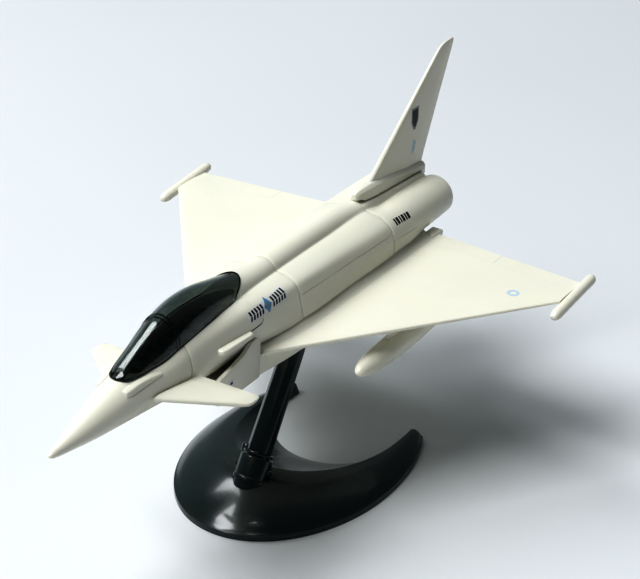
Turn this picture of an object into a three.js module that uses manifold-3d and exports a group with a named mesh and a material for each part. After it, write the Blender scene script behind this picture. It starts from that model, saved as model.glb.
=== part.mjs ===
// Snap-together display model of a twin-engined delta-wing jet with foreplanes, on a leaning
// post and a crescent desk base.  Millimetres, +Z up, nose towards -Y, port wing towards +X.
//
// The aircraft is drawn in its own frame: y runs aft from the nose tip, z up from the nose
// line.  The stand is drawn with y along the same direction and z up from the desk.
import * as THREE from 'three';
import { mergeVertices } from 'three/addons/utils/BufferGeometryUtils.js';
import Module from 'manifold-3d';

const wasm = await Module();
wasm.setup();

// ---------------------------------------------------------------- driving dimensions
const GAP = 0.3;               // clearance between pieces that touch
const WALL = 1.6;              // moulded wall of the fuselage shells
const PITCH = THREE.MathUtils.degToRad(3.64);   // nose-up attitude on the post
const NOSE_HEIGHT = 83.2;      // nose line above the desk

const NOSE_JOINT = 59.5;       // nose to cockpit section
const INTAKE_END = 93.6;       // back of the intake box, front of the wing layer
const FORE_JOINT = 117;        // cockpit to middle section
const REAR_JOINT = 178;        // middle to rear section
const WING_LAYER_END = 204;    // back of the sandwiched wing layer
const TAIL_END = 223;          // exhaust end of the cowls
const LAYER_TOP = 1.6;         // top of the wing layer, under the upper shells
const LAYER_BOTTOM = -3.3;     // bottom of the wing layer, over the belly shell
const LAYER_DIP = 2.8;         // how much lower the layer's top is at its front end

// Exhaust cowls: [y, x, z, radius] down the outside, and the nozzle space in their rear ends.
const COWL = {
  outer: [[178, 8.3, 6, 8.5], [200, 8.4, 6.1, 8.35], [214, 8.6, 6.2, 7.95],
    [TAIL_END - 0.7, 8.7, 6.2, 7.6], [TAIL_END, 8.7, 6.2, 7]],
  bore: { y: 206, x: 8.65, z: 6.2, radius: 6.2 },
};
const TAB_TOP = -0.9;          // top of the tab behind the wing root
const SPAN_X = 80;             // wing tip, where the pod sits
const STEPS = 24;              // points round a fuselage section

const COLOURS = { body: 0xeae6d4, canopy: 0x18211e, stand: 0x121716 };

// ---------------------------------------------------------------- solids
function toSolid(geometry) {
  const bare = geometry.clone();
  bare.deleteAttribute('normal');
  bare.deleteAttribute('uv');
  const merged = mergeVertices(bare, 1e-4);
  return new wasm.Manifold(new wasm.Mesh({
    numProp: 3,
    vertProperties: new Float32Array(merged.attributes.position.array),
    triVerts: new Uint32Array(merged.index.array),
  }));
}

function toGeometry(solid) {
  const mesh = solid.getMesh();
  const geometry = new THREE.BufferGeometry();
  geometry.setAttribute('position', new THREE.BufferAttribute(mesh.vertProperties, 3));
  geometry.setIndex(new THREE.BufferAttribute(mesh.triVerts, 1));
  geometry.computeVertexNormals();
  return geometry;
}

const join = (...solids) => solids.reduce((all, next) => all.add(next));
const cut = (solid, ...tools) => tools.reduce((rest, tool) => rest.subtract(tool), solid);

// A closed skin over rings of equal point counts, with a fan across each end.
function loft(rings) {
  const count = rings[0].length;
  const points = rings.flat();
  const index = [];
  for (let r = 0; r + 1 < rings.length; r += 1) {
    for (let i = 0; i < count; i += 1) {
      const a = r * count + i;
      const b = r * count + ((i + 1) % count);
      index.push(a, b, b + count, a, b + count, a + count);
    }
  }
  [0, rings.length - 1].forEach((r) => {
    const middle = new THREE.Vector3();
    rings[r].forEach((point) => middle.addScaledVector(point, 1 / count));
    points.push(middle);
    for (let i = 0; i < count; i += 1) {
      const a = r * count + i;
      const b = r * count + ((i + 1) % count);
      const fan = r === 0 ? [b, a] : [a, b];
      index.push(...fan, points.length - 1);
    }
  });
  let volume = 0;
  for (let i = 0; i < index.length; i += 3) {
    const [a, b, c] = [points[index[i]], points[index[i + 1]], points[index[i + 2]]];
    volume += a.dot(b.clone().cross(c));
  }
  if (volume < 0) index.reverse();
  const geometry = new THREE.BufferGeometry();
  const flat = points.flatMap((point) => point.toArray());
  geometry.setAttribute('position', new THREE.BufferAttribute(new Float32Array(flat), 3));
  geometry.setIndex(index);
  return toSolid(geometry);
}

function box(x0, x1, y0, y1, z0, z1) {
  const geometry = new THREE.BoxGeometry(x1 - x0, y1 - y0, z1 - z0);
  geometry.translate((x0 + x1) / 2, (y0 + y1) / 2, (z0 + z1) / 2);
  return toSolid(geometry);
}

// A cylinder of revolution about the y axis through (x, z), from [y, radius] pairs.
function turned(x, z, profile, segments = 24) {
  const points = profile.map(([y, radius]) => new THREE.Vector2(radius, y));
  const geometry = new THREE.LatheGeometry(points, segments);
  geometry.translate(x, 0, z);
  return toSolid(geometry);
}

// A round bar of changing centre and radius along y, from [y, x, z, radius] rows.
function tube(rows, segments = 24) {
  return loft(rows.map(([y, x, z, radius]) => Array.from({ length: segments }, (_, i) => {
    const a = (2 * Math.PI * i) / segments;
    return new THREE.Vector3(x + radius * Math.cos(a), y, z + radius * Math.sin(a));
  })));
}

function rod(x0, x1, y, z, radius, segments = 20) {
  const geometry = new THREE.CylinderGeometry(radius, radius, x1 - x0, segments);
  geometry.rotateZ(Math.PI / 2);
  geometry.translate((x0 + x1) / 2, y, z);
  return toSolid(geometry);
}

// A plan outline of [x, y] points, extruded between two heights.
function plate(outline, z0, z1) {
  const shape = new THREE.Shape(outline.map(([x, y]) => new THREE.Vector2(x, y)));
  const geometry = new THREE.ExtrudeGeometry(shape, { depth: z1 - z0, bevelEnabled: false });
  geometry.translate(0, 0, z0);
  return toSolid(geometry);
}

// A side-view outline of [y, z] points, extruded from -half to half across the aircraft.
function sidePlate(outline, half) {
  const shape = new THREE.Shape(outline.map(([y, z]) => new THREE.Vector2(y, z)));
  const geometry = new THREE.ExtrudeGeometry(shape, { depth: 2 * half, bevelEnabled: false });
  geometry.applyMatrix4(new THREE.Matrix4().makeBasis(
    new THREE.Vector3(0, 1, 0), new THREE.Vector3(0, 0, 1), new THREE.Vector3(1, 0, 0),
  ));
  geometry.translate(-half, 0, 0);
  return toSolid(geometry);
}

const mirrored = (solid) => solid.mirror([1, 0, 0]);

// ---------------------------------------------------------------- curves along the aircraft
// Smooth value at y through rows of [y, value], with end tangents along the end chords.
function along(rows, y) {
  const last = rows.length - 1;
  if (y <= rows[0][0]) return rows[0][1];
  if (y >= rows[last][0]) return rows[last][1];
  let i = 0;
  while (rows[i + 1][0] < y) i += 1;
  const slope = (k) => (rows[k + 1][1] - rows[k][1]) / (rows[k + 1][0] - rows[k][0]);
  const tangent = (k) => {
    if (k === 0) return slope(0);
    if (k === last) return slope(last - 1);
    return (slope(k - 1) + slope(k)) / 2;
  };
  const width = rows[i + 1][0] - rows[i][0];
  const t = (y - rows[i][0]) / width;
  const square = t * t;
  const cube = square * t;
  return rows[i][1] * (2 * cube - 3 * square + 1) + rows[i + 1][1] * (3 * square - 2 * cube)
    + width * (tangent(i) * (cube - 2 * square + t) + tangent(i + 1) * (cube - square));
}

// Half sections of the fuselage, from the top centre round the port side to the bottom.
const circle = (y, z, r) => [y, ...[0, 30, 60, 90, 120, 150, 180].map((angle) => {
  const a = THREE.MathUtils.degToRad(angle);
  return [r * Math.sin(a), z + r * Math.cos(a)];
})];
const SECTIONS = [
  circle(0, 0.3, 0.3),
  circle(0.8, 0.3, 1.0),
  circle(3, 0.4, 1.6),
  circle(10, 0.9, 3.0),
  circle(20, 2.0, 5.05),
  circle(30, 3.2, 6.8),
  circle(38, 4.0, 8.0),
  [47, [0, 12.9], [4.7, 12.3], [8.1, 9.3], [9.3, 4.9], [8.0, 0.3], [4.6, -3.3], [0, -4.4]],
  [59.5, [0, 15.4], [5.5, 15.1], [9.4, 12.0], [11.0, 6.0], [9.6, 0.2], [5.6, -3.8], [0, -5]],
  [75, [0, 16.4], [6.3, 16.1], [10.5, 13.2], [12.3, 6.5], [11.2, 1.3], [7.3, -3.6], [0, -5.5]],
  [93, [0, 16.6], [7.2, 16.3], [11.9, 13.9], [14.0, 7.2], [13.0, 1.9], [8.2, -3.4], [0, -5.5]],
  [117, [0, 16.2], [8.4, 15.9], [13.6, 13.7], [15.3, 8.5], [16.7, 1.9], [15.8, -8], [0, -12]],
  [148, [0, 16], [8.8, 15.5], [14.1, 13.1], [16.2, 8.3], [17.1, 1.9], [15.8, -8], [0, -12]],
  [178, [0, 15.5], [9.2, 14.7], [14.5, 12.2], [16.8, 8], [17.2, 1.9], [15.8, -8], [0, -11]],
  [204, [0, 10], [6, 10], [10, 9], [13.5, 6], [14.6, 1.9], [12, -1], [0, -1]],
  [213, [0, 9], [5, 9], [8, 8.4], [9, 6], [8.6, 2], [7, 0], [0, 0]],
];

function fuselageRing(y, inset = 0, steps = STEPS) {
  const half = [0, 1, 2, 3, 4, 5, 6].map((k) => [
    along(SECTIONS.map((row) => [row[0], row[k + 1][0]]), y),
    along(SECTIONS.map((row) => [row[0], row[k + 1][1]]), y),
  ]);
  const other = half.slice(1, 6).reverse().map(([x, z]) => [-x, z]);
  const knots = [...half, ...other].map(([x, z]) => new THREE.Vector3(x, 0, z));
  const curve = new THREE.CatmullRomCurve3(knots, true, 'centripetal');
  const points = curve.getPoints(steps).slice(0, steps);
  return points.map((point, i) => {
    const before = points[(i + steps - 1) % steps];
    const after = points[(i + 1) % steps];
    const normal = new THREE.Vector2(after.z - before.z, before.x - after.x).normalize();
    return new THREE.Vector3(point.x + normal.x * inset, y, point.z + normal.y * inset);
  });
}

const fuselage = (ys, inset = 0) => loft(ys.map((y) => fuselageRing(y, inset)));

// Canopy and spine: an arch of half-width w standing on the sill, with its crown above.
const CANOPY_Y = { front: 34.4, tail: 86, rear: 99.8 };
const ARCH_WIDTH = [[CANOPY_Y.front, 0.4], [35, 2.0], [36, 3.1], [38, 4.0], [41, 4.9],
  [44.5, 5.6], [48.5, 6.4], [52, 7.0], [57, 7.4], [64, 7.6], [72, 7.5], [80, 7.2], [92, 6.4],
  [103, 5.8], [117, 5.3], [178, 5.0]];
const ARCH_SILL = [[CANOPY_Y.front, 11.2], [41, 11.4], [48.5, 11.8], [52, 12.4], [56, 13.4],
  [60.5, 14.1], [70, 15.2], [78, 15.9], [103, 15.8], [178, 14]];
const ARCH_CROWN = [[CANOPY_Y.front, 11.7], [35.5, 13], [39.5, 15.4], [46, 18.4], [50, 20.2],
  [54, 22], [60, 24.2], [66, 25.6], [72, 25.9], [78, 25.4], [87, 23.6], [96, 21.7],
  [103, 20.6], [117, 20.1], [160, 19.6], [178, 18]];

function archRing(y, inset, steps = 12) {
  const width = along(ARCH_WIDTH, y) - inset;
  const sill = along(ARCH_SILL, y);
  const crown = along(ARCH_CROWN, y) - inset;
  const points = [new THREE.Vector3(-width, y, sill - 2), new THREE.Vector3(width, y, sill - 2)];
  for (let i = 0; i <= steps; i += 1) {
    const a = (Math.PI * i) / steps;
    const x = width * Math.cos(a);
    points.push(new THREE.Vector3(x, y, sill + (crown - sill) * Math.sin(a)));
  }
  return points;
}

const arch = (ys, inset = 0) => loft(ys.map((y) => archRing(y, inset)));

// Plan outline of the canopy: the arch's own width, closed behind by a half ellipse.
function canopyOutline(grow) {
  const ys = [35, 36, 38, 41, 44.5, 48.5, 54, 64, 72, 80, CANOPY_Y.tail];
  const side = ys.map((y) => [along(ARCH_WIDTH, y) + grow, y])
    .filter(([x, y]) => x > 0.6 && y > CANOPY_Y.front - grow);
  const front = [0.4, CANOPY_Y.front - grow];
  const tail = [15, 30, 45, 60, 75, 90].map((angle) => {
    const a = THREE.MathUtils.degToRad(angle);
    const reach = CANOPY_Y.rear + grow - CANOPY_Y.tail;
    const width = along(ARCH_WIDTH, CANOPY_Y.tail) + grow;
    return [width * Math.cos(a), CANOPY_Y.tail + reach * Math.sin(a)];
  });
  const port = [front, ...side, ...tail];
  return [...port, ...port.slice(0, -1).reverse().map(([x, y]) => [-x, y])];
}

// Everything above the sill line, lowered or raised by a step.
function aboveSill(step) {
  const ys = [30, CANOPY_Y.front, 41, 48.5, 52, 56, 60.5, 70, 78, 103, 110];
  return loft(ys.map((y) => {
    const low = along(ARCH_SILL, y) + step;
    return [[-12, low], [12, low], [12, 40], [-12, 40]].map(([x, z]) => new THREE.Vector3(x, y, z));
  }));
}

// ---------------------------------------------------------------- materials
const makeMaterial = (colour, roughness, opacity = 1) => new THREE.MeshStandardMaterial({
  color: colour, roughness, metalness: 0, opacity, transparent: opacity < 1,
});

const aircraft = new THREE.Group();
const stand = new THREE.Group();

function add(group, name, solid, finish = 'body') {
  const roughness = { body: 0.35, canopy: 0.08, stand: 0.3 }[finish];
  const opacity = finish === 'canopy' ? 0.6 : 1;
  const mesh = new THREE.Mesh(toGeometry(solid), makeMaterial(COLOURS[finish], roughness, opacity));
  mesh.name = name;
  group.add(mesh);
  return mesh;
}

// ---------------------------------------------------------------- stand post frame
// The post's axis leaves the socket at POST_FOOT, leaning aft.
const POST_LEAN = THREE.MathUtils.degToRad(36.4);
const POST_FOOT = new THREE.Vector3(0, 113.5, 17.5);
const POST = { foot: 8.3, head: 7.5, bevel: 2.1, plug: 4.2, plugLength: 8, length: 53.2 };
const TONGUE = { width: 4, depth: 4.6, length: 13 };   // above the post's head
const COLLAR = { outer: 6, bore: 4.5, below: 12, tab: 1 };

const postMatrix = new THREE.Matrix4()
  .makeRotationX(-POST_LEAN)
  .setPosition(POST_FOOT);
const aircraftMatrix = new THREE.Matrix4()
  .makeRotationX(-PITCH)
  .setPosition(0, 0, NOSE_HEIGHT);

function moved(solid, matrix) {
  return solid.transform(matrix.toArray());
}
const intoAircraft = (solid) => moved(moved(solid, postMatrix), aircraftMatrix.clone().invert());

// ---------------------------------------------------------------- nose and cockpit sections
const CANARD = {
  pivot: { y: 51.5, z: 3.1 }, peg: 0.8, clearance: 0.1, pegInner: 5, pegOuter: 11.2,
};
const canopyWell = plate(canopyOutline(-1.5), 3, 40);
const canopySeat = plate(canopyOutline(GAP), 0, 40).intersect(aboveSill(-GAP));

function noseSection() {
  const outer = fuselage([0, 0.8, 3, 6.5, 10, 15, 20, 25, 30, 34, 38, 42.5, 47, 53, NOSE_JOINT]);
  const hollow = fuselage([16, 20, 25, 30, 38, 47, 53, NOSE_JOINT + 0.5], WALL);
  const hole = rod(-14, 14, CANARD.pivot.y, CANARD.pivot.z, CANARD.peg + CANARD.clearance);
  const shell = cut(outer, hollow, canopyWell, canopySeat, hole);
  const strake = foreStrake();
  return join(shell, cut(strake, hollow), cut(mirrored(strake), hollow));
}

// The raised wedge on each cheek below the windscreen: blunt in front, fading out aft.
function foreStrake() {
  const rows = [
    [32, [3, 7], [5.7, 7.6], [5.2, 8.9], [3.9, 9.5]],
    [37.7, [3.5, 8], [6.6, 8.6], [6, 9.9], [4.4, 10.3]],
    [42.7, [4.5, 8.5], [7.4, 9], [7.1, 9.9], [5.6, 10.5]],
    [46.8, [5.5, 8.5], [8.2, 9], [8.3, 9.6], [7.3, 10.3]],
  ];
  return loft(rows.map(([y, ...ring]) => ring.map(([x, z]) => new THREE.Vector3(x, y, z))));
}

function cockpitSection() {
  const ys = [NOSE_JOINT + GAP, 67, 75, 84, 93, 101, 109, FORE_JOINT];
  const spine = arch([84, 90, 96, 103, 109, FORE_JOINT]);
  const hollow = fuselage([NOSE_JOINT - 1, 75, 93, 105, FORE_JOINT + 1], WALL);
  const underSpine = arch([100, 109, FORE_JOINT + 1], WALL);
  const top = LAYER_TOP + GAP;
  const wingLayer = sidePlate([[INTAKE_END, -20], [INTAKE_END, top - LAYER_DIP], [FORE_JOINT, top],
    [FORE_JOINT + 1, top], [FORE_JOINT + 1, -20]], 30);
  return cut(join(fuselage(ys), spine), hollow, underSpine, canopyWell, canopySeat, wingLayer);
}

function canopy() {
  const ys = [CANOPY_Y.front, 34.7, 35.3, 36.4, 39, 42, 46, 50, 54, 60, 66, 72, 78, 87, 96, 104];
  const outer = arch(ys).intersect(plate(canopyOutline(0), 0, 40)).intersect(aboveSill(0));
  const inner = arch([36.8, 39, 44, 50, 54, 60, 66, 72, 78, 87, 96, 102], 1.2)
    .intersect(plate(canopyOutline(-1.2), 0, 40));
  return cut(outer, inner);
}

function cockpitDeck() {
  const floor = plate([[3.4, 45], [4.8, 50], [4.8, 90], [3.2, 96], [-3.2, 96], [-4.8, 90],
    [-4.8, 50], [-3.4, 45]], 8.6, 10.2);
  const studs = [];
  for (let y = 51; y < 92; y += 6) {
    [-2.4, 2.4].forEach((x) => {
      const stud = new THREE.CylinderGeometry(1.7, 1.7, 2, 16);
      stud.rotateX(Math.PI / 2);
      stud.translate(x, y, 10.8);
      studs.push(toSolid(stud));
    });
  }
  return join(floor, ...studs);
}

// ---------------------------------------------------------------- middle and rear shells
function middleSection() {
  const y0 = FORE_JOINT + GAP;
  const y1 = REAR_JOINT - GAP;
  const outer = join(fuselage([y0, 132, 148, 163, y1]), arch([y0, 140, 160, y1]));
  const hollow = fuselage([y0 - 1, 132, 148, 163, y1 + 1], WALL);
  const underSpine = arch([y0 - 1, 140, 160, y1 + 1], WALL);
  return cut(outer, hollow, underSpine, box(-30, 30, 90, 190, -20, LAYER_TOP + GAP));
}

const REAR_SPINE = [[178, 17], [200, 15.5], [TAIL_END, 13.5]];

function rearSection() {
  const cowl = tube(COWL.outer);
  const { bore } = COWL;
  const space = tube([bore.y, TAIL_END + 1].map((y) => [y, bore.x, bore.z, bore.radius]));
  const flanks = fuselage([REAR_JOINT, 185, 191, 197, 204, 208.5, 213]);
  const hollow = fuselage([REAR_JOINT - 1, 185, 191, 197, 203], WALL + 0.8);
  const spine = loft([178, 200, TAIL_END].map((y) => {
    const top = along(REAR_SPINE, y);
    return [[-4.7, 6], [4.7, 6], [4.7, top - 1.5], [3.4, top], [-3.4, top], [-4.7, top - 1.5]]
      .map(([x, z]) => new THREE.Vector3(x, y, z));
  }));
  const finSlot = box(-1.2 - GAP, 1.2 + GAP, 192 - GAP, 206 + GAP, 11.5, 20);
  const wingLayer = box(-30, 30, 170, WING_LAYER_END + GAP, -20, LAYER_TOP + GAP);
  const solid = join(cowl, mirrored(cowl), flanks, spine);
  return cut(solid, hollow, space, mirrored(space), finSlot, wingLayer);
}

function bellyRing(y, inset) {
  const half = along([[94, 14.2], [117, 15.2], [150, 15.6], [178, 15.4], [195, 14.2], [204, 12.6]], y);
  const low = along([[94, -12], [117, -13.2], [150, -13.2], [178, -11.6], [195, -7.8], [204, -5]], y);
  const top = LAYER_BOTTOM - GAP + (inset > 0 ? 1 : 0);
  const floor = low + inset;
  const side = half - inset;
  const outline = [[side, top], [side - 0.2, (top + floor) / 2], [side - 1, floor + 1.2],
    [side - 2.6, floor]];
  return [...outline, ...outline.slice().reverse().map(([x, z]) => [-x, z])]
    .map(([x, z]) => new THREE.Vector3(x, y, z));
}

function bellyShell() {
  const y0 = INTAKE_END + GAP;
  const y1 = WING_LAYER_END - GAP;
  const outer = loft([y0, 117, 134, 150, 165, 178, 187, 195, y1].map((y) => bellyRing(y, 0)));
  const hollow = loft([y0 + 3, 117, 150, 165, 178, 187].map((y) => bellyRing(y, WALL)));
  return cut(outer, hollow, tongueSlot(GAP), postShadow());
}

// ---------------------------------------------------------------- intake box
const INTAKE = { half: 14.8, cheek: 1.4, floor: -12, corner: 2.4, deck: -6.6, web: 1 };

// Raked box with two ducts under a deck; its cheeks rise past the fuselage's lower corners.
function intakeBox() {
  const { half, floor, corner } = INTAKE;
  const block = sidePlate([[68, -2.2], [71.5, floor], [INTAKE_END, floor], [INTAKE_END, 3],
    [90.5, 4.8], [88, 4.2], [84, 2], [70, -1]], half);
  const trimmed = block.intersect(loft([60, 100].map((y) => (
    [[half, 8], [half, floor + corner], [half - corner, floor], [corner - half, floor],
      [-half, floor + corner], [-half, 8]].map(([x, z]) => new THREE.Vector3(x, y, z))))));
  const inside = half - INTAKE.cheek;
  const trough = box(-inside, inside, 60, 97, INTAKE.deck, 10);
  const duct = box(INTAKE.web, inside, 60, 90.5, floor + INTAKE.cheek, INTAKE.deck - 1.2);
  return cut(trimmed, trough, fuselage([60, 75, 84, 93, 97], -GAP), duct, mirrored(duct));
}

// ---------------------------------------------------------------- wings
const WING = {
  apex: [14.4, 94.2], tipLead: [SPAN_X, 183.3], tipTrail: [SPAN_X, 200.8], rootTrail: [19, 207.4],
  rootThick: 2.5, tipThick: 1.5,
};

function wingRing(x) {
  const t = (x - WING.apex[0]) / (SPAN_X - WING.apex[0]);
  const lead = WING.apex[1] + t * (WING.tipLead[1] - WING.apex[1]);
  const trailSlope = (WING.tipTrail[1] - WING.rootTrail[1]) / (SPAN_X - WING.rootTrail[0]);
  const trail = WING.rootTrail[1] + (x - WING.rootTrail[0]) * trailSlope;
  const thick = WING.rootThick + t * (WING.tipThick - WING.rootThick);
  const middle = -1.9 + 0.9 * t;
  const chord = trail - lead;
  const nose = Math.min(6, chord / 4);
  const tail = Math.min(40, chord / 2);
  const upper = [[lead, 0], [lead + 0.3, 0.24], [lead + 1.2, 0.38], [lead + nose, 0.5],
    [trail - tail, 0.5], [trail, 0.2]];
  const lower = [[trail, -0.2], [trail - tail, -0.5], [lead + nose, -0.5],
    [lead + 1.2, -0.38], [lead + 0.3, -0.24]];
  return [...upper, ...lower].map(([y, half]) => {
    const droop = -0.6 * ((trail - y) / (WING.rootTrail[1] - WING.apex[1]));
    return new THREE.Vector3(x, y, middle + half * thick + droop);
  });
}

function wing() {
  const panel = loft([15.2, 22, 32, 45, 60, 72, SPAN_X].map(wingRing));
  const front = INTAKE_END + 2 * GAP;
  const strip = plate([
    [8.5, front], [12.5, front], [14.9, 94.8], [18.6, FORE_JOINT], [19.2, 150],
    [19.2, 210.6], [18.2, 211.6], [15.3, 211.6], [14, 210.6], [14, WING_LAYER_END],
    [8.5, WING_LAYER_END],
  ], LAYER_BOTTOM, LAYER_TOP);
  const above = sidePlate([[90, LAYER_TOP - LAYER_DIP - 0.4], [INTAKE_END, LAYER_TOP - LAYER_DIP],
    [FORE_JOINT, LAYER_TOP], [FORE_JOINT, 9], [90, 9]], 30);
  const behind = box(0, 30, WING_LAYER_END, 215, TAB_TOP, 9);
  return join(panel, cut(strip, above, behind));
}

function tipPod() {
  const profile = [[-16, 0], [-15.8, 0.7], [-15, 1.3], [-13, 1.7], [13.6, 1.7], [15.2, 1.2],
    [15.8, 0.5], [15.9, 0]];
  const points = profile.map(([y, r]) => new THREE.Vector2(r, y));
  const geometry = new THREE.LatheGeometry(points, 14);
  geometry.rotateX(THREE.MathUtils.degToRad(5));
  geometry.translate(SPAN_X + 2, 191, -1.7);
  return toSolid(geometry);
}

// ---------------------------------------------------------------- foreplanes
function canard() {
  const root = { x: 11.8, lead: 43.2, trail: 62.8 };
  const inner = { x: 9.3, lead: 40.9, trail: 53 };
  const tip = { x: 30.6, lead: 62, trail: 69.2 };
  const rings = [inner, root, { x: 29.6, lead: 61, trail: 69 }, { x: 30.8, lead: 63, trail: 68 }]
    .map(({ x, lead, trail }) => {
      const thick = x > tip.x - 2 ? 0.5 : 0.9;
      const z = 3.6 - (x - 9) * 0.235;
      const chord = trail - lead;
      return [[0, 0], [0.06, 0.8], [0.3, 1], [0.7, 0.9], [1, 0.35], [1, -0.35], [0.7, -0.9],
        [0.3, -1], [0.06, -0.8]].map(([part, up]) => (
        new THREE.Vector3(x, lead + part * chord, z + up * thick)));
    });
  const peg = rod(CANARD.pegInner, CANARD.pegOuter, CANARD.pivot.y, CANARD.pivot.z, CANARD.peg);
  const body = fuselage([30, 38, 47, 59.5, 75], -0.4);
  return join(cut(loft(rings), body), peg);
}

function sideStrake() {
  const plan = [[11, 72.6], [13, 72.4], [14.2, 73.6], [15, 87], [14, 88.9], [11.4, 89]];
  return cut(plate(plan, 6.8, 7.9), fuselage([60, 75, 93, 100], -GAP));
}

// ---------------------------------------------------------------- fin
function tailFin() {
  const rows = [[13, 179.2, 224.2, 1.5], [22, 187, 228.2, 1.4], [40, 210.8, 236.9, 1.05],
    [56, 232, 244.8, 0.75], [58.6, 236, 245.9, 0.6], [59.6, 239.6, 244.9, 0.3]];
  const blade = loft(rows.map(([z, lead, trail, half]) => {
    const chord = trail - lead;
    return [[0, 0], [0.03, 0.75], [0.16, 1], [0.7, 0.9], [1, 0.3], [1, -0.3], [0.7, -0.9],
      [0.16, -1], [0.03, -0.75]].map(([part, side]) => (
      new THREE.Vector3(side * half, lead + part * chord, z)));
  }));
  const fairingRows = [[176.6, 1, 18.5, 20.6], [177.6, 1.7, 18.4, 21.5], [179.5, 2.1, 18.2, 21.9],
    [181, 2.4, 17.3, 22], [187, 2.7, 16.8, 22.1], [200, 2.7, 15.9, 20.7],
    [213, 2.4, 14.9, 18.6], [TAIL_END + GAP, 2.1, 13.9, 17.1], [TAIL_END + 2 * GAP, 2.1, 11.8, 17],
    [226.4, 2, 11.8, 16.5]];
  const fairing = loft(fairingRows.map(([y, half, low, high]) => (
    [[half, low], [half, high - 1.4], [half * 0.6, high], [-half * 0.6, high], [-half, high - 1.4],
      [-half, low]].map(([x, z]) => new THREE.Vector3(x, y, z)))));
  const root = sidePlate([[170, 10], [170, 19.5], [182, 19.5], [223, 15.5], [226.2, 15.2],
    [226.2, 10]], 5);
  return join(cut(blade, root), fairing, box(-1.2, 1.2, 192, 206, 12.5, 18));
}

// ---------------------------------------------------------------- stores
const TANK = { x: 37, z: -14, nose: 118.7, length: 66, radius: 4.3 };

function dropTank() {
  const part = [[0, 0], [0.01, 0.3], [0.04, 0.55], [0.12, 0.8], [0.22, 0.95], [0.35, 1],
    [0.62, 0.97], [0.8, 0.75], [0.93, 0.4], [1, 0.12], [1, 0]];
  const profile = part.map(([a, r]) => [TANK.nose + a * TANK.length, r * TANK.radius]);
  return turned(TANK.x, TANK.z, profile, 20);
}

function pylon() {
  const outline = [[TANK.x, 139], [TANK.x + 0.8, 142], [TANK.x + 0.8, 165], [TANK.x, 170],
    [TANK.x - 0.8, 165], [TANK.x - 0.8, 142]];
  const tankSpace = turned(TANK.x, TANK.z, [[118, 0], [118, TANK.radius + GAP],
    [190, TANK.radius + GAP], [190, 0]], 20);
  const wingSpace = box(20, 60, 90, 210, -3.9, 5);
  return cut(plate(outline, TANK.z, 0), tankSpace, wingSpace);
}

// ---------------------------------------------------------------- inner pieces
function wingBox() {
  const slab = box(-8.2, 8.2, INTAKE_END + GAP + 0.3, WING_LAYER_END, LAYER_BOTTOM, LAYER_TOP);
  return cut(slab, tongueSlot(GAP));
}

const jointPeg = (y, z, radius) => turned(0, z, [
  [y - 11, 0], [y - 11, radius - 0.6], [y - 10, radius], [y + 10, radius], [y + 11, radius - 0.6],
  [y + 11, 0],
], 16);

function postSocket() {
  const block = box(-6, 6, 134, 160, -11, LAYER_BOTTOM - GAP);
  return cut(block, tongueSlot(GAP));
}

function nozzle() {
  const { bore } = COWL;
  const outer = bore.radius - GAP;
  return turned(bore.x, bore.z, [
    [bore.y + 1, 0], [bore.y + 1, outer], [TAIL_END - 0.6, outer], [TAIL_END - 0.6, outer - 0.8],
    [214, outer - 2.0], [209, outer - 2.3], [209, 0],
  ], 20);
}

// ---------------------------------------------------------------- stand
function postSection(half, z) {
  const bevel = half - POST.bevel;
  return [[half, bevel], [bevel, half], [-bevel, half], [-half, bevel], [-half, -bevel],
    [-bevel, -half], [bevel, -half], [half, -bevel]].map(([x, y]) => new THREE.Vector3(x, y, z));
}

function tongueSlot(clearance) {
  const x = TONGUE.width / 2 + clearance;
  const y = TONGUE.depth / 2 + clearance;
  const solid = box(-x, x, -y, y, POST.length - 14, POST.length + TONGUE.length + clearance);
  return intoAircraft(solid);
}

function postShadow() {
  const solid = loft([postSection(POST.head / 2 + GAP, 20), postSection(POST.head / 2 + GAP, POST.length)]);
  return intoAircraft(solid);
}

function post() {
  const shaft = loft([postSection(POST.foot / 2, 0.4), postSection(POST.head / 2, POST.length - GAP)]);
  const turn = (radius, z0, z1, segments) => {
    const geometry = new THREE.CylinderGeometry(radius, radius, z1 - z0, segments);
    geometry.rotateX(Math.PI / 2);
    geometry.translate(0, 0, (z0 + z1) / 2);
    return toSolid(geometry);
  };
  const plug = turn(POST.plug, -POST.plugLength, 1, 24);
  const ring = turn(5.3, 0.4, 1.7, 24);
  const lug = box(-6.6, -4.4, -1.4, 1.4, 0.4, 2.8);
  const tongue = box(-TONGUE.width / 2, TONGUE.width / 2, -TONGUE.depth / 2, TONGUE.depth / 2,
    POST.length - 1, POST.length + TONGUE.length - 1);
  return moved(join(shaft, plug, ring, lug, tongue), postMatrix);
}

// Plan curves of the crescent: half ellipses with their own front and rear reach, each ending
// at its tip angle.
const BASE = {
  turn: THREE.MathUtils.degToRad(-3.6), pivot: 140, rim: 2.3, wall: 1.8, ridge: 13.4, tipRidge: 5,
  outer: { x: 39, centre: 140, front: 53, rear: 59, tip: 129.5 },
  crest: { x: 27.6, centre: 158, front: 42, rear: 57, tip: 108.4 },
  foot: { x: 26, centre: 171, front: 29.4, rear: 47, tip: 98 },
};

function basePoint(curve, part, z) {
  const a = THREE.MathUtils.degToRad(curve.tip * part);
  const reach = Math.cos(a) > 0 ? curve.front : curve.rear;
  return new THREE.Vector3(curve.x * Math.sin(a), curve.centre - reach * Math.cos(a), z);
}

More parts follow.
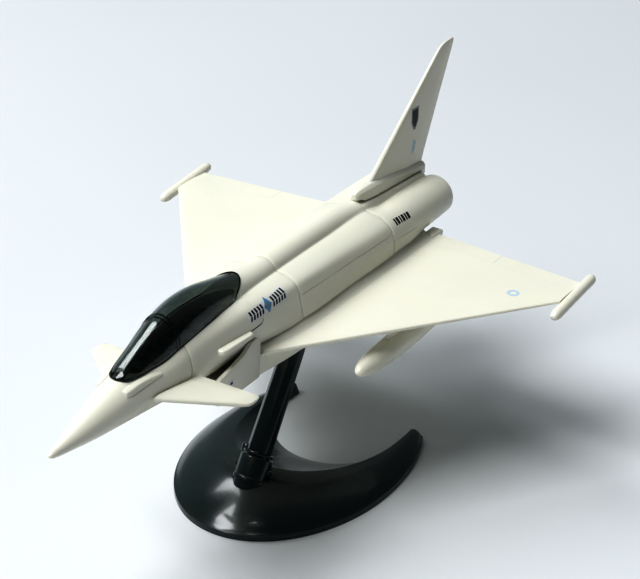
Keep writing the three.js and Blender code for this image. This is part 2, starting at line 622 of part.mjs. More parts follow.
function baseRing(part, inset) {
  const high = BASE.ridge + (BASE.tipRidge - BASE.ridge) * Math.abs(part) ** 1.2;
  const outer = basePoint(BASE.outer, part, 0);
  const crest = basePoint(BASE.crest, part, high - inset);
  const foot = basePoint(BASE.foot, part, 0);
  const toFoot = foot.clone().sub(outer).setZ(0).normalize();
  const start = outer.clone().addScaledVector(toFoot, inset);
  const end = foot.clone().addScaledVector(toFoot, -inset);
  const low = inset > 0 ? -1 : 0;
  const rise = (from, to, t, z) => from.clone().lerp(to, t).setZ(z);
  return [
    start.clone().setZ(low),
    start.clone().setZ(BASE.rim - inset * 0.5),
    rise(start, crest, 0.35, BASE.rim + (high - BASE.rim) * 0.62 - inset),
    rise(start, crest, 0.65, BASE.rim + (high - BASE.rim) * 0.94 - inset),
    crest,
    rise(crest, end, 0.5, high * 0.5 + 0.6 - inset),
    end.clone().setZ(1.2 - inset * 0.5),
    end.clone().setZ(low),
  ];
}

function standBase() {
  const parts = [];
  for (let i = -14; i <= 14; i += 1) parts.push(i / 14);
  const outer = loft(parts.map((part) => baseRing(part, 0)));
  const hollow = loft(parts.slice(2, -2).map((part) => baseRing(part, BASE.wall)));
  return cut(outer, hollow);
}

function socketed(shell) {
  const cylinder = (radius, z0, z1) => {
    const geometry = new THREE.CylinderGeometry(radius, radius, z1 - z0, 24);
    geometry.rotateX(Math.PI / 2);
    geometry.translate(0, 0, (z0 + z1) / 2);
    return moved(toSolid(geometry), postMatrix);
  };
  const collar = cut(cylinder(COLLAR.outer, -COLLAR.below, 0), box(-50, 50, 50, 250, -30, 0.6));
  const tabs = [1, -1].map((side) => {
    const x = side * (COLLAR.outer + COLLAR.tab / 2 - 0.2);
    return moved(box(x - 0.7, x + 0.7, -1.2, 1.2, -5.2, -3.4), postMatrix);
  });
  const notch = moved(box(-8, -4, -1.4 - GAP, 1.4 + GAP, -1, 2), postMatrix);
  return cut(join(shell, collar, ...tabs), cylinder(COLLAR.bore, -POST.plugLength - GAP, 2), notch);
}

// ---------------------------------------------------------------- assembly
add(aircraft, 'nose_section', noseSection());
add(aircraft, 'cockpit_section', cockpitSection());
add(aircraft, 'middle_section', middleSection());
add(aircraft, 'rear_section', rearSection());
add(aircraft, 'belly_shell', bellyShell());
add(aircraft, 'intake_box', intakeBox());
add(aircraft, 'canopy', canopy(), 'canopy');
add(aircraft, 'cockpit_deck', cockpitDeck(), 'stand');
add(aircraft, 'wing_box', wingBox());
add(aircraft, 'nose_joint_peg', jointPeg(NOSE_JOINT, 2.2, 4));
add(aircraft, 'fore_joint_peg', jointPeg(FORE_JOINT, 8, 4.5));
add(aircraft, 'rear_joint_peg', jointPeg(REAR_JOINT, 7, 3.5));
add(aircraft, 'post_socket', postSocket());
add(aircraft, 'tail_fin', tailFin());
const pairs = {
  wing, wingtip_pod: tipPod, canard, side_strake: sideStrake, drop_tank: dropTank,
  tank_pylon: pylon, exhaust_nozzle: nozzle,
};
Object.entries(pairs).forEach(([name, make]) => {
  const port = make();
  add(aircraft, `${name}_port`, port);
  add(aircraft, `${name}_starboard`, mirrored(port));
});
aircraft.rotation.x = -PITCH;
aircraft.position.z = NOSE_HEIGHT;

const turnedBase = new THREE.Matrix4().makeTranslation(0, BASE.pivot, 0)
  .multiply(new THREE.Matrix4().makeRotationZ(BASE.turn))
  .multiply(new THREE.Matrix4().makeTranslation(0, -BASE.pivot, 0));
add(stand, 'stand_base', socketed(moved(standBase(), turnedBase)), 'stand');
add(stand, 'stand_post', post(), 'stand');

const model = new THREE.Group();
model.add(aircraft, stand);
const middle = new THREE.Box3().setFromObject(model, true).getCenter(new THREE.Vector3());
model.position.set(-middle.x, -middle.y, 0);

export default model;
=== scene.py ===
"""Looks for the snap-together display jet on its crescent stand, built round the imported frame.

Shapes are written in millimetres in two frames of their own and placed in the row frame:
the aircraft's (x port, y aft from the nose tip, z up from the nose line) and the stand's
(the same directions, z up from the desk, not tilted).
"""
import math

import bpy
import numpy as np
from mathutils import Matrix, Vector


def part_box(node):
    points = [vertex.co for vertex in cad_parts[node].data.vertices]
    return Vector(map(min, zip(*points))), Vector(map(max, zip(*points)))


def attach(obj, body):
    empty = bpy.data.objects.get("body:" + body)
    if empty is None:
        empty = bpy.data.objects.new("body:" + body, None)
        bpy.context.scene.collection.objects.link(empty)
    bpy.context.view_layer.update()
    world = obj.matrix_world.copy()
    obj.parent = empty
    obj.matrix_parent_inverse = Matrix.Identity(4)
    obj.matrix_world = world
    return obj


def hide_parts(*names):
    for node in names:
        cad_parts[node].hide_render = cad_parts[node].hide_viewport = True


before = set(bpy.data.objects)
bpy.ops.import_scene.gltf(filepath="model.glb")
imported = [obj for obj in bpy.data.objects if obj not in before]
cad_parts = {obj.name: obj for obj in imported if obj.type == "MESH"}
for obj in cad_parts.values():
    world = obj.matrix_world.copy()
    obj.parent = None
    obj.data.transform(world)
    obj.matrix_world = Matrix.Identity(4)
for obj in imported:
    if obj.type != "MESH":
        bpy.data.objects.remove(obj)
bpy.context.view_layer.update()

# ---- driving dimensions, mm
MM = 0.001
PITCH = math.radians(3.64)
NOSE_HEIGHT = 83.2
ORIGIN_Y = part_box("nose_section")[0].y  # the nose tip is the foremost point of the model
GAP = 0.3
NOSE_JOINT = 59.5
INTAKE_END = 93.6
FORE_JOINT = 117.0
REAR_JOINT = 178.0
WING_LAYER_END = 204.0
TAIL_END = 223.0
LAYER_TOP = 1.6
LAYER_BOTTOM = -3.3
LAYER_DIP = 2.8
TAB_TOP = -0.9
SPAN_X = 80.0
SIDES = {1: "port", -1: "starboard"}
# Axes across, then the one turned about or extruded along.
UPRIGHT, LENGTHWISE, SIDEWAYS = (0, 1, 2), (0, 2, 1), (1, 2, 0)


# ---- placing and mesh making
def rotated(points, first, second, angle):
    """Points turned by an angle from one axis towards another."""
    p = np.array(points, float)
    cos, sin = math.cos(angle), math.sin(angle)
    a, b = p[:, first].copy(), p[:, second].copy()
    p[:, first], p[:, second] = a * cos - b * sin, a * sin + b * cos
    return p


def from_aircraft(points):
    """Aircraft-frame millimetres to row-frame metres."""
    return (rotated(points, 1, 2, -PITCH) + [0, 0, NOSE_HEIGHT]) * MM + [0, ORIGIN_Y, 0]


def from_stand(points):
    """Stand-frame millimetres to row-frame metres."""
    return np.asarray(points, float) * MM + [0, ORIGIN_Y, 0]


def mirrored(shape):
    """A port shape's mirror image, its faces still outward."""
    points, faces = shape
    return np.asarray(points) * [-1, 1, 1], [face[::-1] for face in faces]


def joined(*shapes):
    """Several (points, faces) shapes as one, each still a closed body of its own."""
    points, faces = [], []
    for more_points, more_faces in shapes:
        start = len(points)
        points.extend(np.asarray(more_points).tolist())
        faces.extend([[i + start for i in face] for face in more_faces])
    return np.array(points), faces


def signed_volume(points, faces):
    return sum(float(np.dot(points[face[0]], np.cross(points[face[i]], points[face[i + 1]])))
               for face in faces for i in range(1, len(face) - 1))


def loft(rings, closed_path=False):
    """A skin over rings of equal point counts, capped at both ends unless the path closes."""
    count = len(rings[0])
    points = np.vstack(rings).astype(float)
    faces = []
    for r in range(len(rings) if closed_path else len(rings) - 1):
        a, b = r * count, ((r + 1) % len(rings)) * count
        faces += [[a + i, a + (i + 1) % count, b + (i + 1) % count, b + i] for i in range(count)]
    if not closed_path:
        faces += [list(range(count))[::-1], list(range(len(points) - count, len(points)))]
    if signed_volume(points - points.mean(0), faces) < 0:
        faces = [face[::-1] for face in faces]
    return points, faces


def stacked(sections, axes=LENGTHWISE):
    """A loft over (level, 2-D points) pairs, the level lying along the last of the axes."""
    rings = np.zeros((len(sections), len(sections[0][1]), 3))
    for ring, (level, outline) in zip(rings, sections):
        ring[:, axes] = [(*point, level) for point in outline]
    return loft(rings)


def turned(profile, segments=48, centre=(0.0, 0.0), axes=LENGTHWISE):
    """Turned from (level, radius) pairs about the last of the axes, through centre."""
    turns = np.linspace(0, 2 * math.pi, segments, endpoint=False)
    return stacked([(level, [(centre[0] + r * math.cos(a), centre[1] + r * math.sin(a))
                             for a in turns]) for level, r in profile], axes)


def prism(outline, low, high, axes=UPRIGHT):
    """A 2-D outline on the first two axes, extruded from low to high along the third."""
    return stacked([(low, outline), (high, outline)], axes)


def rectangle(x0, x1, y0, y1):
    return [(x0, y0), (x1, y0), (x1, y1), (x0, y1)]


def block(x0, x1, y0, y1, z0, z1):
    return prism(rectangle(x0, x1, y0, y1), z0, z1)


def rounded_below(half, top, floor, corner, count):
    """An upright (x, z) section with its two lower corners rounded."""
    turns = np.linspace(0, math.pi / 2, count)
    right = [(half, top)] + [(half - corner + corner * math.cos(a),
                              floor + corner - corner * math.sin(a)) for a in turns]
    return right + [(-x, z) for x, z in right[::-1]]


def beside(start, end, width):
    """Half a width, square to the way from start to end."""
    run = np.subtract(end, start)
    return np.array([-run[1], run[0]]) / np.linalg.norm(run) * width / 2


def added(name, data):
    """A new object in the scene."""
    made = bpy.data.objects.new(name, data)
    bpy.context.scene.collection.objects.link(made)
    return made


def make_object(name, shape, place=from_aircraft):
    points, faces = shape
    mesh = bpy.data.meshes.new(name)
    mesh.from_pydata(place(points).tolist(), [], faces)
    mesh.validate()
    return added(name, mesh)


def apply_modifiers(made):
    graph = bpy.context.evaluated_depsgraph_get()
    mesh = bpy.data.meshes.new_from_object(made.evaluated_get(graph))
    made.modifiers.clear()
    made.data = mesh


def carve(made, tools, place=from_aircraft, operation="DIFFERENCE"):
    """Cuts shapes out of an object, or joins them to it."""
    for shape in tools:
        tool = make_object("tool", shape, place)
        change = made.modifiers.new("carve", "BOOLEAN")
        change.operation = operation
        change.solver = "EXACT"
        change.object = tool
        apply_modifiers(made)
        bpy.data.objects.remove(tool)


def soften(made, width, segments=2, angle=35):
    """Rounds the sharp edges by a width in millimetres."""
    bevel = made.modifiers.new("soften", "BEVEL")
    bevel.width = width * MM
    bevel.segments = segments
    bevel.limit_method = "ANGLE"
    bevel.angle_limit = math.radians(angle)
    bevel.use_clamp_overlap = True
    apply_modifiers(made)


def finish_piece(made, finish, *nodes, body="airframe", angle=32):
    """Shades, paints and mounts a piece on its body, in place of the CAD nodes named."""
    made.data.materials.clear()
    made.data.materials.append(finish)
    made.data.shade_smooth()
    made.data.set_sharp_from_angle(angle=math.radians(angle))
    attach(made, body)
    if nodes:
        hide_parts(*nodes)


def piece(name, shape, finish, *nodes, place=from_aircraft, cuts=(), adds=(), bevel=None, **more):
    """A piece made, cut, joined, softened by bevel (width, segments, angle) and finished."""
    made = make_object(name, shape, place)
    carve(made, cuts, place)
    carve(made, adds, place, "UNION")
    if bevel:
        soften(made, *bevel)
    finish_piece(made, finish, *nodes, **more)


def sided(side, name, shape, *nodes, cuts=(), adds=(), **more):
    """An ivory piece of the port side, or its mirror image to starboard."""
    pick = (lambda one: one) if side > 0 else mirrored
    piece(f"{name}_{SIDES[side]}", pick(shape), IVORY,
          *(f"{node}_{SIDES[side]}" for node in nodes),
          cuts=[pick(one) for one in cuts], adds=[pick(one) for one in adds], **more)


# ---- curves along the aircraft
def along(rows, y):
    """Smooth value at y through rows of (y, value), the end tangents along the end chords."""
    last = len(rows) - 1
    if y <= rows[0][0]:
        return rows[0][1]
    if y >= rows[last][0]:
        return rows[last][1]
    i = 0
    while rows[i + 1][0] < y:
        i += 1

    def slope(k):
        return (rows[k + 1][1] - rows[k][1]) / (rows[k + 1][0] - rows[k][0])

    def tangent(k):
        return (slope(max(k - 1, 0)) + slope(min(k, last - 1))) / 2

    width = rows[i + 1][0] - rows[i][0]
    t = (y - rows[i][0]) / width
    square, cube = t * t, t * t * t
    return (rows[i][1] * (2 * cube - 3 * square + 1) + rows[i + 1][1] * (3 * square - 2 * cube)
            + width * (tangent(i) * (cube - 2 * square + t) + tangent(i + 1) * (cube - square)))


def straight(rows, place, column=1):
    """Straight-line value at a place through rows that each start with their place."""
    return float(np.interp(place, [row[0] for row in rows], [row[column] for row in rows]))


def section_at(rows, y):
    """The (x, z) points at y through rows that each give a y and then their points."""
    return [tuple(along([(row[0], row[k][axis]) for row in rows], y) for axis in (0, 1))
            for k in range(1, len(rows[0]))]


def circle_section(y, z, radius):
    turns = [math.radians(angle) for angle in (0, 30, 60, 90, 120, 150, 180)]
    return [y] + [(radius * math.sin(a), z + radius * math.cos(a)) for a in turns]


# Half sections of the fuselage, from the top centre round the port side to the bottom.
SECTIONS = [
    *(circle_section(*row) for row in ((0, 0.3, 0.3), (0.8, 0.3, 1), (3, 0.4, 1.6), (10, 0.9, 3),
                                       (20, 2, 5.05), (30, 3.2, 6.8), (38, 4, 8))),
    [47, (0, 12.9), (4.7, 12.3), (8.1, 9.3), (9.3, 4.9), (8.0, 0.3), (4.6, -3.3), (0, -4.4)],
    [59.5, (0, 15.4), (5.5, 15.1), (9.4, 12.0), (11.0, 6.0), (9.6, 0.2), (5.6, -3.8), (0, -5)],
    [75, (0, 16.4), (6.3, 16.1), (10.5, 13.2), (12.3, 6.5), (11.2, 1.3), (7.3, -3.6), (0, -5.5)],
    [93, (0, 16.6), (7.2, 16.3), (11.9, 13.9), (14.0, 7.2), (13.0, 1.9), (8.2, -3.4), (0, -5.5)],
    [117, (0, 16.2), (8.4, 15.9), (13.6, 13.7), (15.3, 8.5), (16.7, 1.9), (15.8, -8), (0, -12)],
    [148, (0, 16), (8.8, 15.5), (14.1, 13.1), (16.2, 8.3), (17.1, 1.9), (15.8, -8), (0, -12)],
    [178, (0, 15.5), (9.2, 14.7), (14.5, 12.2), (16.8, 8), (17.2, 1.9), (15.8, -8), (0, -11)],
    [204, (0, 10), (6, 10), (10, 9), (13.5, 6), (14.6, 1.9), (12, -1), (0, -1)],
    [213, (0, 9), (5, 9), (8, 8.4), (9, 6), (8.6, 2), (7, 0), (0, 0)],
]
CANOPY = {"front": 33.5, "tail": 86.0, "rear": 99.8, "thick": 1.1, "bows": (56.5, 57.8),
          "ledge": 1.6, "well": 7.0, "above": 45}
ARCH_WIDTH = [(CANOPY["front"], 0.5), (34.2, 2.4), (35.2, 3.5), (37.4, 4.4), (41, 5.2), (44.5, 5.7),
              (48.5, 6.4), (52, 7.0), (57, 7.4), (64, 7.6), (72, 7.5), (80, 7.2), (92, 6.4),
              (103, 5.8), (117, 5.3), (178, 5.0)]
ARCH_SILL = [(CANOPY["front"], 11.2), (41, 11.4), (48.5, 11.8), (52, 12.4), (56, 13.4),
             (60.5, 14.1), (70, 15.2), (78, 15.9), (103, 15.8), (178, 14)]
ARCH_CROWN = [(CANOPY["front"], 11.7), (35.0, 13), (39.5, 15.4), (46, 18.4), (50, 20.2),
              (54, 22), (60, 24.2), (66, 25.6), (72, 25.9), (78, 25.4), (87, 23.6),
              (96, 21.7), (103, 20.6), (117, 20.1), (160, 19.6), (178, 18)]
ARCH_START = 80.0  # the spine joins the hull from here aft
REAR_SPINE = [(178, 17), (200, 15.5), (TAIL_END, 13.5)]
REAR_SPINE_HALF = 4.7
COWL = [(178, 8.3, 6, 8.5), (200, 8.4, 6.1, 8.35), (214, 8.6, 6.2, 7.95),
        (TAIL_END, 8.7, 6.2, 7.6)]
BORE = {"y": 206.0, "x": 8.65, "z": 6.2, "radius": 6.2}
HULL_CENTRE = [(0, 0.3), (10, 0.9), (20, 2), (30, 3.2), (38, 4), (60, 5.5), (117, 6.5),
               (178, 6.5), (TAIL_END, 6.2)]
HALF_COUNT = 140
# A dark film line of painted groove shade, as (y, z), then the lines scored in the shells: a level
# one and a sloping one.
STRAKE_LINE = [(89.6, 8.0), (92, 8.15), (95.2, 8.5), (96.0, 9.3), (96.3, 10.6)]
MIDDLE_LINE = 9.6
REAR_LINE = [(178.4, 6.8), (209.5, 4.7)]
SCORE = {"width": 0.4, "depth": 0.25, "above": 0.4}
BELLY_HALF = [(94, 14.2), (117, 15.2), (150, 15.6), (178, 15.4), (195, 14.2), (204, 12.6)]
BELLY_FLOOR = [(94, -12), (117, -13.2), (150, -13.2), (178, -11.6), (195, -7.8), (204, -5)]


def closed_curve(knots, per_span=20):
    """Centripetal Catmull-Rom through a closed list of 2-D knots."""
    p = np.array(knots, float)
    before, after, beyond = np.roll(p, 1, 0), np.roll(p, -1, 0), np.roll(p, -2, 0)
    t = np.linspace(0, 1, per_span, endpoint=False)[:, None]
    points = []
    for p0, p1, p2, p3 in zip(before, p, after, beyond):
        d0, d1, d2 = (max(float(np.hypot(*(b - a))), 1e-6) ** 0.5
                      for a, b in ((p0, p1), (p1, p2), (p2, p3)))
        m1 = ((p1 - p0) / d0 - (p2 - p0) / (d0 + d1) + (p2 - p1) / d1) * d1
        m2 = ((p2 - p1) / d1 - (p3 - p1) / (d1 + d2) + (p3 - p2) / d2) * d1
        points.append(p1 + m1 * t + (3 * (p2 - p1) - 2 * m1 - m2) * t ** 2
                      + (2 * (p1 - p2) + m1 + m2) * t ** 3)
    return np.vstack(points)


def fuselage_radii(y, angles, centre):
    half = section_at(SECTIONS, y)
    curve = closed_curve(half + [(-x, z) for x, z in half[5:0:-1]])
    turn = np.arctan2(curve[:, 1] - centre, curve[:, 0])
    order = np.argsort(turn)
    reach = np.hypot(curve[:, 0], curve[:, 1] - centre)
    return np.interp(angles, turn[order], reach[order], period=2 * math.pi)


def arch(y):
    """Half-width, sill height and crown height of the canopy and spine."""
    return along(ARCH_WIDTH, y), along(ARCH_SILL, y), along(ARCH_CROWN, y)


def arch_radii(y, angles, centre):
    """The spine: an upright half ellipse on straight walls."""
    width, sill, crown = arch(y)
    cos, sin = np.cos(angles), np.sin(angles)
    wall = width / np.maximum(np.abs(cos), 1e-6)
    low, high = sill - centre, crown - sill
    a = (cos / width) ** 2 + (sin / high) ** 2
    b = -2 * sin * low / high ** 2
    c = (low / high) ** 2 - 1
    dome = (-b + np.sqrt(np.maximum(b * b - 4 * a * c, 0))) / (2 * a)
    reach = np.where(wall * sin <= low, wall, dome)
    return np.where(sin > 0, reach, 0)


def cowl_radii(y, angles):
    x, z, radius = (along([(row[0], row[k]) for row in COWL], y) for k in (1, 2, 3))
    centre = along(HULL_CENTRE, y)
    cos, sin = np.cos(angles), np.sin(angles)
    middle = x * np.abs(cos) + (z - centre) * sin
    under = radius ** 2 - (x ** 2 + (z - centre) ** 2 - middle ** 2)
    return np.where(under > 0, middle + np.sqrt(np.maximum(under, 0)), 3.0)


def rear_spine_radii(y, angles, centre):
    high = along(REAR_SPINE, y) - centre
    cos, sin = np.abs(np.cos(angles)), np.sin(angles)
    power = 5
    reach = ((cos / REAR_SPINE_HALF) ** power + (np.abs(sin) / high) ** power) ** (-1 / power)
    return np.where(sin > 0, reach, 0)


def blended(a, b, fillet):
    """The larger of two radii, with a fillet of about that size where they cross."""
    share = np.clip(0.5 + 0.5 * (a - b) / fillet, 0, 1)
    return b + (a - b) * share + fillet * share * (1 - share)


def layer_top(y):
    return LAYER_TOP + GAP - LAYER_DIP * min(max((FORE_JOINT - y) / (FORE_JOINT - INTAKE_END), 0), 1)


def hull_floor(y):
    """The height below which the upper shells are cut away for the wing layer."""
    if INTAKE_END <= y <= WING_LAYER_END + GAP:
        return layer_top(y)
    return -40.0


def hull_radii(y, angles):
    centre = along(HULL_CENTRE, y)
    reach = fuselage_radii(y, angles, centre)
    if ARCH_START <= y <= REAR_JOINT - GAP / 2:
        reach = blended(reach, arch_radii(y, angles, centre), 0.8)
    if y > REAR_JOINT - GAP / 2:
        reach = blended(reach, cowl_radii(y, angles), 1.0)
        reach = blended(reach, rear_spine_radii(y, angles, centre), 0.8)
    return reach


def hull_ring(y, inset=0.0, place_y=None):
    """One closed ring of the hull, with its lower corners at fixed places in the list."""
    centre = along(HULL_CENTRE, y)
    probe = np.linspace(-math.pi / 2, math.pi / 2, 721)
    reach = hull_radii(y, probe) - inset
    height = centre + reach * np.sin(probe)
    floor = max(hull_floor(y) + inset, height[0] + 0.02 * reach[0])
    first = int(np.argmax(height > floor))
    share = (floor - height[first - 1]) / (height[first] - height[first - 1])
    corner = probe[first - 1] + share * (probe[first] - probe[first - 1])
    angles = np.linspace(corner, math.pi / 2, HALF_COUNT)
    reach = hull_radii(y, angles) - inset
    x, z = reach * np.cos(angles), centre + reach * np.sin(angles)
    z[0], x[-1] = floor, 0
    xs = np.concatenate([x, -x[-2::-1], np.linspace(-x[0], x[0], 8)[1:-1]])
    zs = np.concatenate([z, z[-2::-1], np.full(6, floor)])
    return np.column_stack([xs, np.full(len(xs), y if place_y is None else place_y), zs])


def hull(y0, y1, step=1.5, lip=0.35, breaks=()):
    """A length of hull with softly rounded end edges; breaks are kept as exact stations."""
    inner = np.linspace(y0 + lip, y1 - lip, max(2, int((y1 - y0) / step)))
    stations = sorted(set(inner.tolist()) | set(breaks))
    return loft([hull_ring(y0, 0.3), hull_ring(y0 + 0.1, 0.1), *(hull_ring(y) for y in stations),
                 hull_ring(y1 - 0.1, 0.1), hull_ring(y1, 0.3)])


def hull_point(y, z, lift):
    """The port-side point of the hull at a height, stood off by a lift along its normal."""
    angles = np.linspace(-1.2, math.pi / 2, 600)
    reach = hull_radii(y, angles)
    x, height = reach * np.cos(angles), along(HULL_CENTRE, y) + reach * np.sin(angles)
    k = min(max(int(np.argmin(np.abs(height - z))), 1), len(angles) - 2)
    tangent = np.array([x[k + 1] - x[k - 1], height[k + 1] - height[k - 1]])
    tangent /= np.linalg.norm(tangent)
    return np.array([x[k] + tangent[1] * lift, y, height[k] - tangent[0] * lift])


def scored(path):
    """Tools that score a line in both sides of the hull, along (y, z) points."""
    rings = []
    for i, (y, z) in enumerate(path):
        side = beside(path[max(i - 1, 0)], path[min(i + 1, len(path) - 1)], SCORE["width"])
        rings.append([hull_point(y + side[0], z + side[1], SCORE["above"]),
                      hull_point(y - side[0], z - side[1], SCORE["above"]),
                      hull_point(y, z, -SCORE["depth"])])
    tool = loft(rings)
    return [tool, mirrored(tool)]


# ---- materials
GRAIN_DEPTH = 0.00005  # metres


def material(name, colour, roughness, **more):
    made = bpy.data.materials.new(name)
    made.use_nodes = True
    shader = made.node_tree.nodes["Principled BSDF"]
    shader.inputs["Base Color"].default_value = (*colour, 1)
    shader.inputs["Roughness"].default_value = roughness
    for key, value in more.items():
        shader.inputs[key.replace("_", " ")].default_value = value
    return made


def drive(made, scale, kind, inlet, outlet, socket, detail=3.0):
    """Drives a shader socket through a node, by noise on the piece's coordinates in metres."""
    tree = made.node_tree
    where, texture, node = (tree.nodes.new(f"ShaderNode{one}")
                            for one in ("TexCoord", "TexNoise", kind))
    texture.inputs["Scale"].default_value = scale
    texture.inputs["Detail"].default_value = detail
    tree.links.new(where.outputs["Object"], texture.inputs["Vector"])
    tree.links.new(texture.outputs["Fac"], node.inputs[inlet])
    tree.links.new(node.outputs[outlet], tree.nodes["Principled BSDF"].inputs[socket])
    return node


def vary_colour(made, scale, low, high):
    ramp = drive(made, scale, "ValToRGB", "Fac", "Color", "Base Color").color_ramp
    for element, position, colour in zip(ramp.elements, (0.35, 0.65), (low, high)):
        element.position = position
        element.color = (*colour, 1)


def vary_roughness(made, scale, low, high):
    remap = drive(made, scale, "MapRange", "Value", "Result", "Roughness")
    remap.inputs["To Min"].default_value = low
    remap.inputs["To Max"].default_value = high


def grain(made, scale, strength):
    """Fine moulding grain, as a bump."""
    bump = drive(made, scale, "Bump", "Height", "Normal", "Normal", 2.0)
    bump.inputs["Strength"].default_value = strength
    bump.inputs["Distance"].default_value = GRAIN_DEPTH


def black_plastic(name="black_moulded_plastic", low=0.2, high=0.28):
    made = material(name, (0.018, 0.031, 0.03), low, IOR=1.54, Coat_Weight=0.6,
                    Coat_Roughness=0.1)
    vary_colour(made, 60, (0.017, 0.030, 0.029), (0.022, 0.037, 0.035))
    vary_roughness(made, 120, low, high)
    grain(made, 420, 0.06)
    return made


def film(name, low, high):
    """Printed decal film; the dark one also paints the shade of one engraved groove."""
    made = material(name, low, 0.42)
    vary_colour(made, 900, low, high)
    return made


IVORY = material("ivory_moulded_plastic", (0.83, 0.81, 0.69), 0.34, IOR=1.49,
                 Subsurface_Weight=0.12, Subsurface_Scale=0.0015,
                 Subsurface_Radius=(1.0, 0.8, 0.5), Coat_Weight=0.15, Coat_Roughness=0.25)
vary_colour(IVORY, 28, (0.82, 0.8, 0.70), (0.838, 0.818, 0.725))
vary_roughness(IVORY, 160, 0.3, 0.4)
grain(IVORY, 900, 0.12)
SMOKED = material("smoked_clear_plastic", (0.36, 0.41, 0.385), 0.04, IOR=1.49,
                  Transmission_Weight=1.0, Coat_Weight=0.3, Coat_Roughness=0.03)
vary_colour(SMOKED, 40, (0.33, 0.38, 0.355), (0.39, 0.44, 0.415))
BLACK = black_plastic()
DECK_BLACK = black_plastic("black_deck_plastic", 0.3, 0.45)
RIM_BLACK = material("canopy_rim_plastic", (0.006, 0.009, 0.008), 0.12, IOR=1.49)
vary_colour(RIM_BLACK, 80, (0.005, 0.008, 0.007), (0.009, 0.012, 0.011))
FILM_WHITE = film("pale_film", (0.78, 0.78, 0.76), (0.84, 0.84, 0.82))
FILM_BLACK = film("dark_film", (0.014, 0.015, 0.02), (0.03, 0.03, 0.036))
FILM_BLUE = film("blue_film", (0.16, 0.33, 0.5), (0.22, 0.4, 0.56))
FILM_PALE_BLUE = film("pale_blue_film", (0.5, 0.62, 0.74), (0.58, 0.69, 0.8))
FILM_GREY = film("grey_film", (0.3, 0.3, 0.32), (0.36, 0.36, 0.38))


# ---- canopy outline
def canopy_half(y, grow=0.0):
    """Half-width of the canopy's plan outline at y."""
    length = CANOPY["rear"] - CANOPY["front"]
    y = CANOPY["front"] + (y - CANOPY["front"] + grow) * length / (length + 2 * grow)
    if y <= CANOPY["tail"]:
        return max(along(ARCH_WIDTH, y), 0.3) + grow
    reach = (y - CANOPY["tail"]) / (CANOPY["rear"] - CANOPY["tail"])
    return along(ARCH_WIDTH, CANOPY["tail"]) * math.sqrt(max(1 - reach ** 2, 0.001)) + grow


def canopy_stations(grow=0.0, count=72):
    start, end = CANOPY["front"] - grow, CANOPY["rear"] + grow
    return [start + (end - start) * (1 - math.cos(math.pi * i / count)) / 2
            for i in range(count + 1)]


def well(grow, floor):
    """A tool as wide as the canopy outline, from floor(y) up past the canopy."""
    sections = []
    for y in canopy_stations(grow, 64):
        half = max(canopy_half(y, grow), 0.2)
        sections.append((y, rectangle(-half, half, floor(y), CANOPY["above"])))
    return stacked(sections)


CANOPY_CUTS = [well(-CANOPY["ledge"], lambda y: CANOPY["well"]),
               well(GAP / 2, lambda y: along(ARCH_SILL, y) - GAP)]


# ---- fuselage shells
def nose_section():
    stations = [0, 0.1, 0.3, 0.8, 1.5, 2.5, 4, 6, *np.arange(8, 59, 1.5), 59.15]
    shell = loft([hull_ring(y) for y in stations]
                 + [hull_ring(NOSE_JOINT - 0.1, 0.1), hull_ring(NOSE_JOINT, 0.3)])
    piece("nose_shell", shell, IVORY, "nose_section", cuts=CANOPY_CUTS)


def fore_strakes():
    """The raised wedge on each cheek below the windscreen."""
    rows = [[31.6, (3, 6.4), (5.9, 7.1), (5.7, 8.9), (4.1, 9.6)],
            [33.5, (3.2, 6.8), (6.5, 7.4), (6.1, 9.4), (4.3, 10.1)],
            [37.7, (3.5, 7.6), (7.1, 8.2), (6.6, 10.1), (4.6, 10.7)],
            [42.7, (4.5, 8.3), (7.8, 8.8), (7.4, 10.2), (5.8, 10.9)],
            [47.6, (5.5, 8.5), (8.3, 9), (8.4, 9.7), (7.3, 10.5)]]
    port = stacked([(y, section_at(rows, y)) for y in np.linspace(rows[0][0], rows[-1][0], 14)])
    piece("cheek_strakes", joined(port, mirrored(port)), IVORY, bevel=(0.8, 5), angle=60)


def cockpit_section():
    shell = hull(NOSE_JOINT + GAP, FORE_JOINT, breaks=(INTAKE_END - 0.05, INTAKE_END))
    piece("cockpit_shell", shell, IVORY, "cockpit_section", cuts=CANOPY_CUTS)


def middle_section():
    line = scored([(y, MIDDLE_LINE) for y in np.linspace(118.5, 176.9, 40)])
    piece("middle_shell", hull(FORE_JOINT + GAP, REAR_JOINT - GAP), IVORY, "middle_section",
          cuts=line)


def rear_section():
    layer_end = WING_LAYER_END + GAP
    shell = hull(REAR_JOINT, TAIL_END, step=1.2, lip=0.5, breaks=(layer_end, layer_end + 0.05))
    bore = turned([(BORE["y"], BORE["radius"]), (TAIL_END + 2, BORE["radius"])],
                  64, (BORE["x"], BORE["z"]))
    line = scored([(y, along(REAR_LINE, y)) for y in np.linspace(179.5, 203, 20)])
    piece("rear_shell", shell, IVORY, "rear_section", cuts=[bore, mirrored(bore), *line])


def belly_ring(y, inset):
    half, low = along(BELLY_HALF, y) - inset, along(BELLY_FLOOR, y) + inset
    top = LAYER_BOTTOM - GAP - inset
    return rounded_below(half, top, low, min(3.0, (top - low) * 0.6), 10)


def belly_shell():
    y0, y1 = INTAKE_END + GAP, WING_LAYER_END - GAP
    stations = [(y0, 0.3), (y0 + 0.15, 0.08),
                *((y, 0) for y in np.linspace(y0 + 0.4, y1 - 0.4, 40)),
                (y1 - 0.15, 0.08), (y1, 0.3)]
    made = make_object("belly_pan", stacked([(y, belly_ring(y, inset)) for y, inset in stations]))
    carve(made, [post_shadow()], place=from_stand)
    finish_piece(made, IVORY, "belly_shell")


INTAKE = {"half": 14.8, "cheek": 1.4, "floor": -12.0, "corner": 2.4, "deck": -6.6, "web": 1.0}


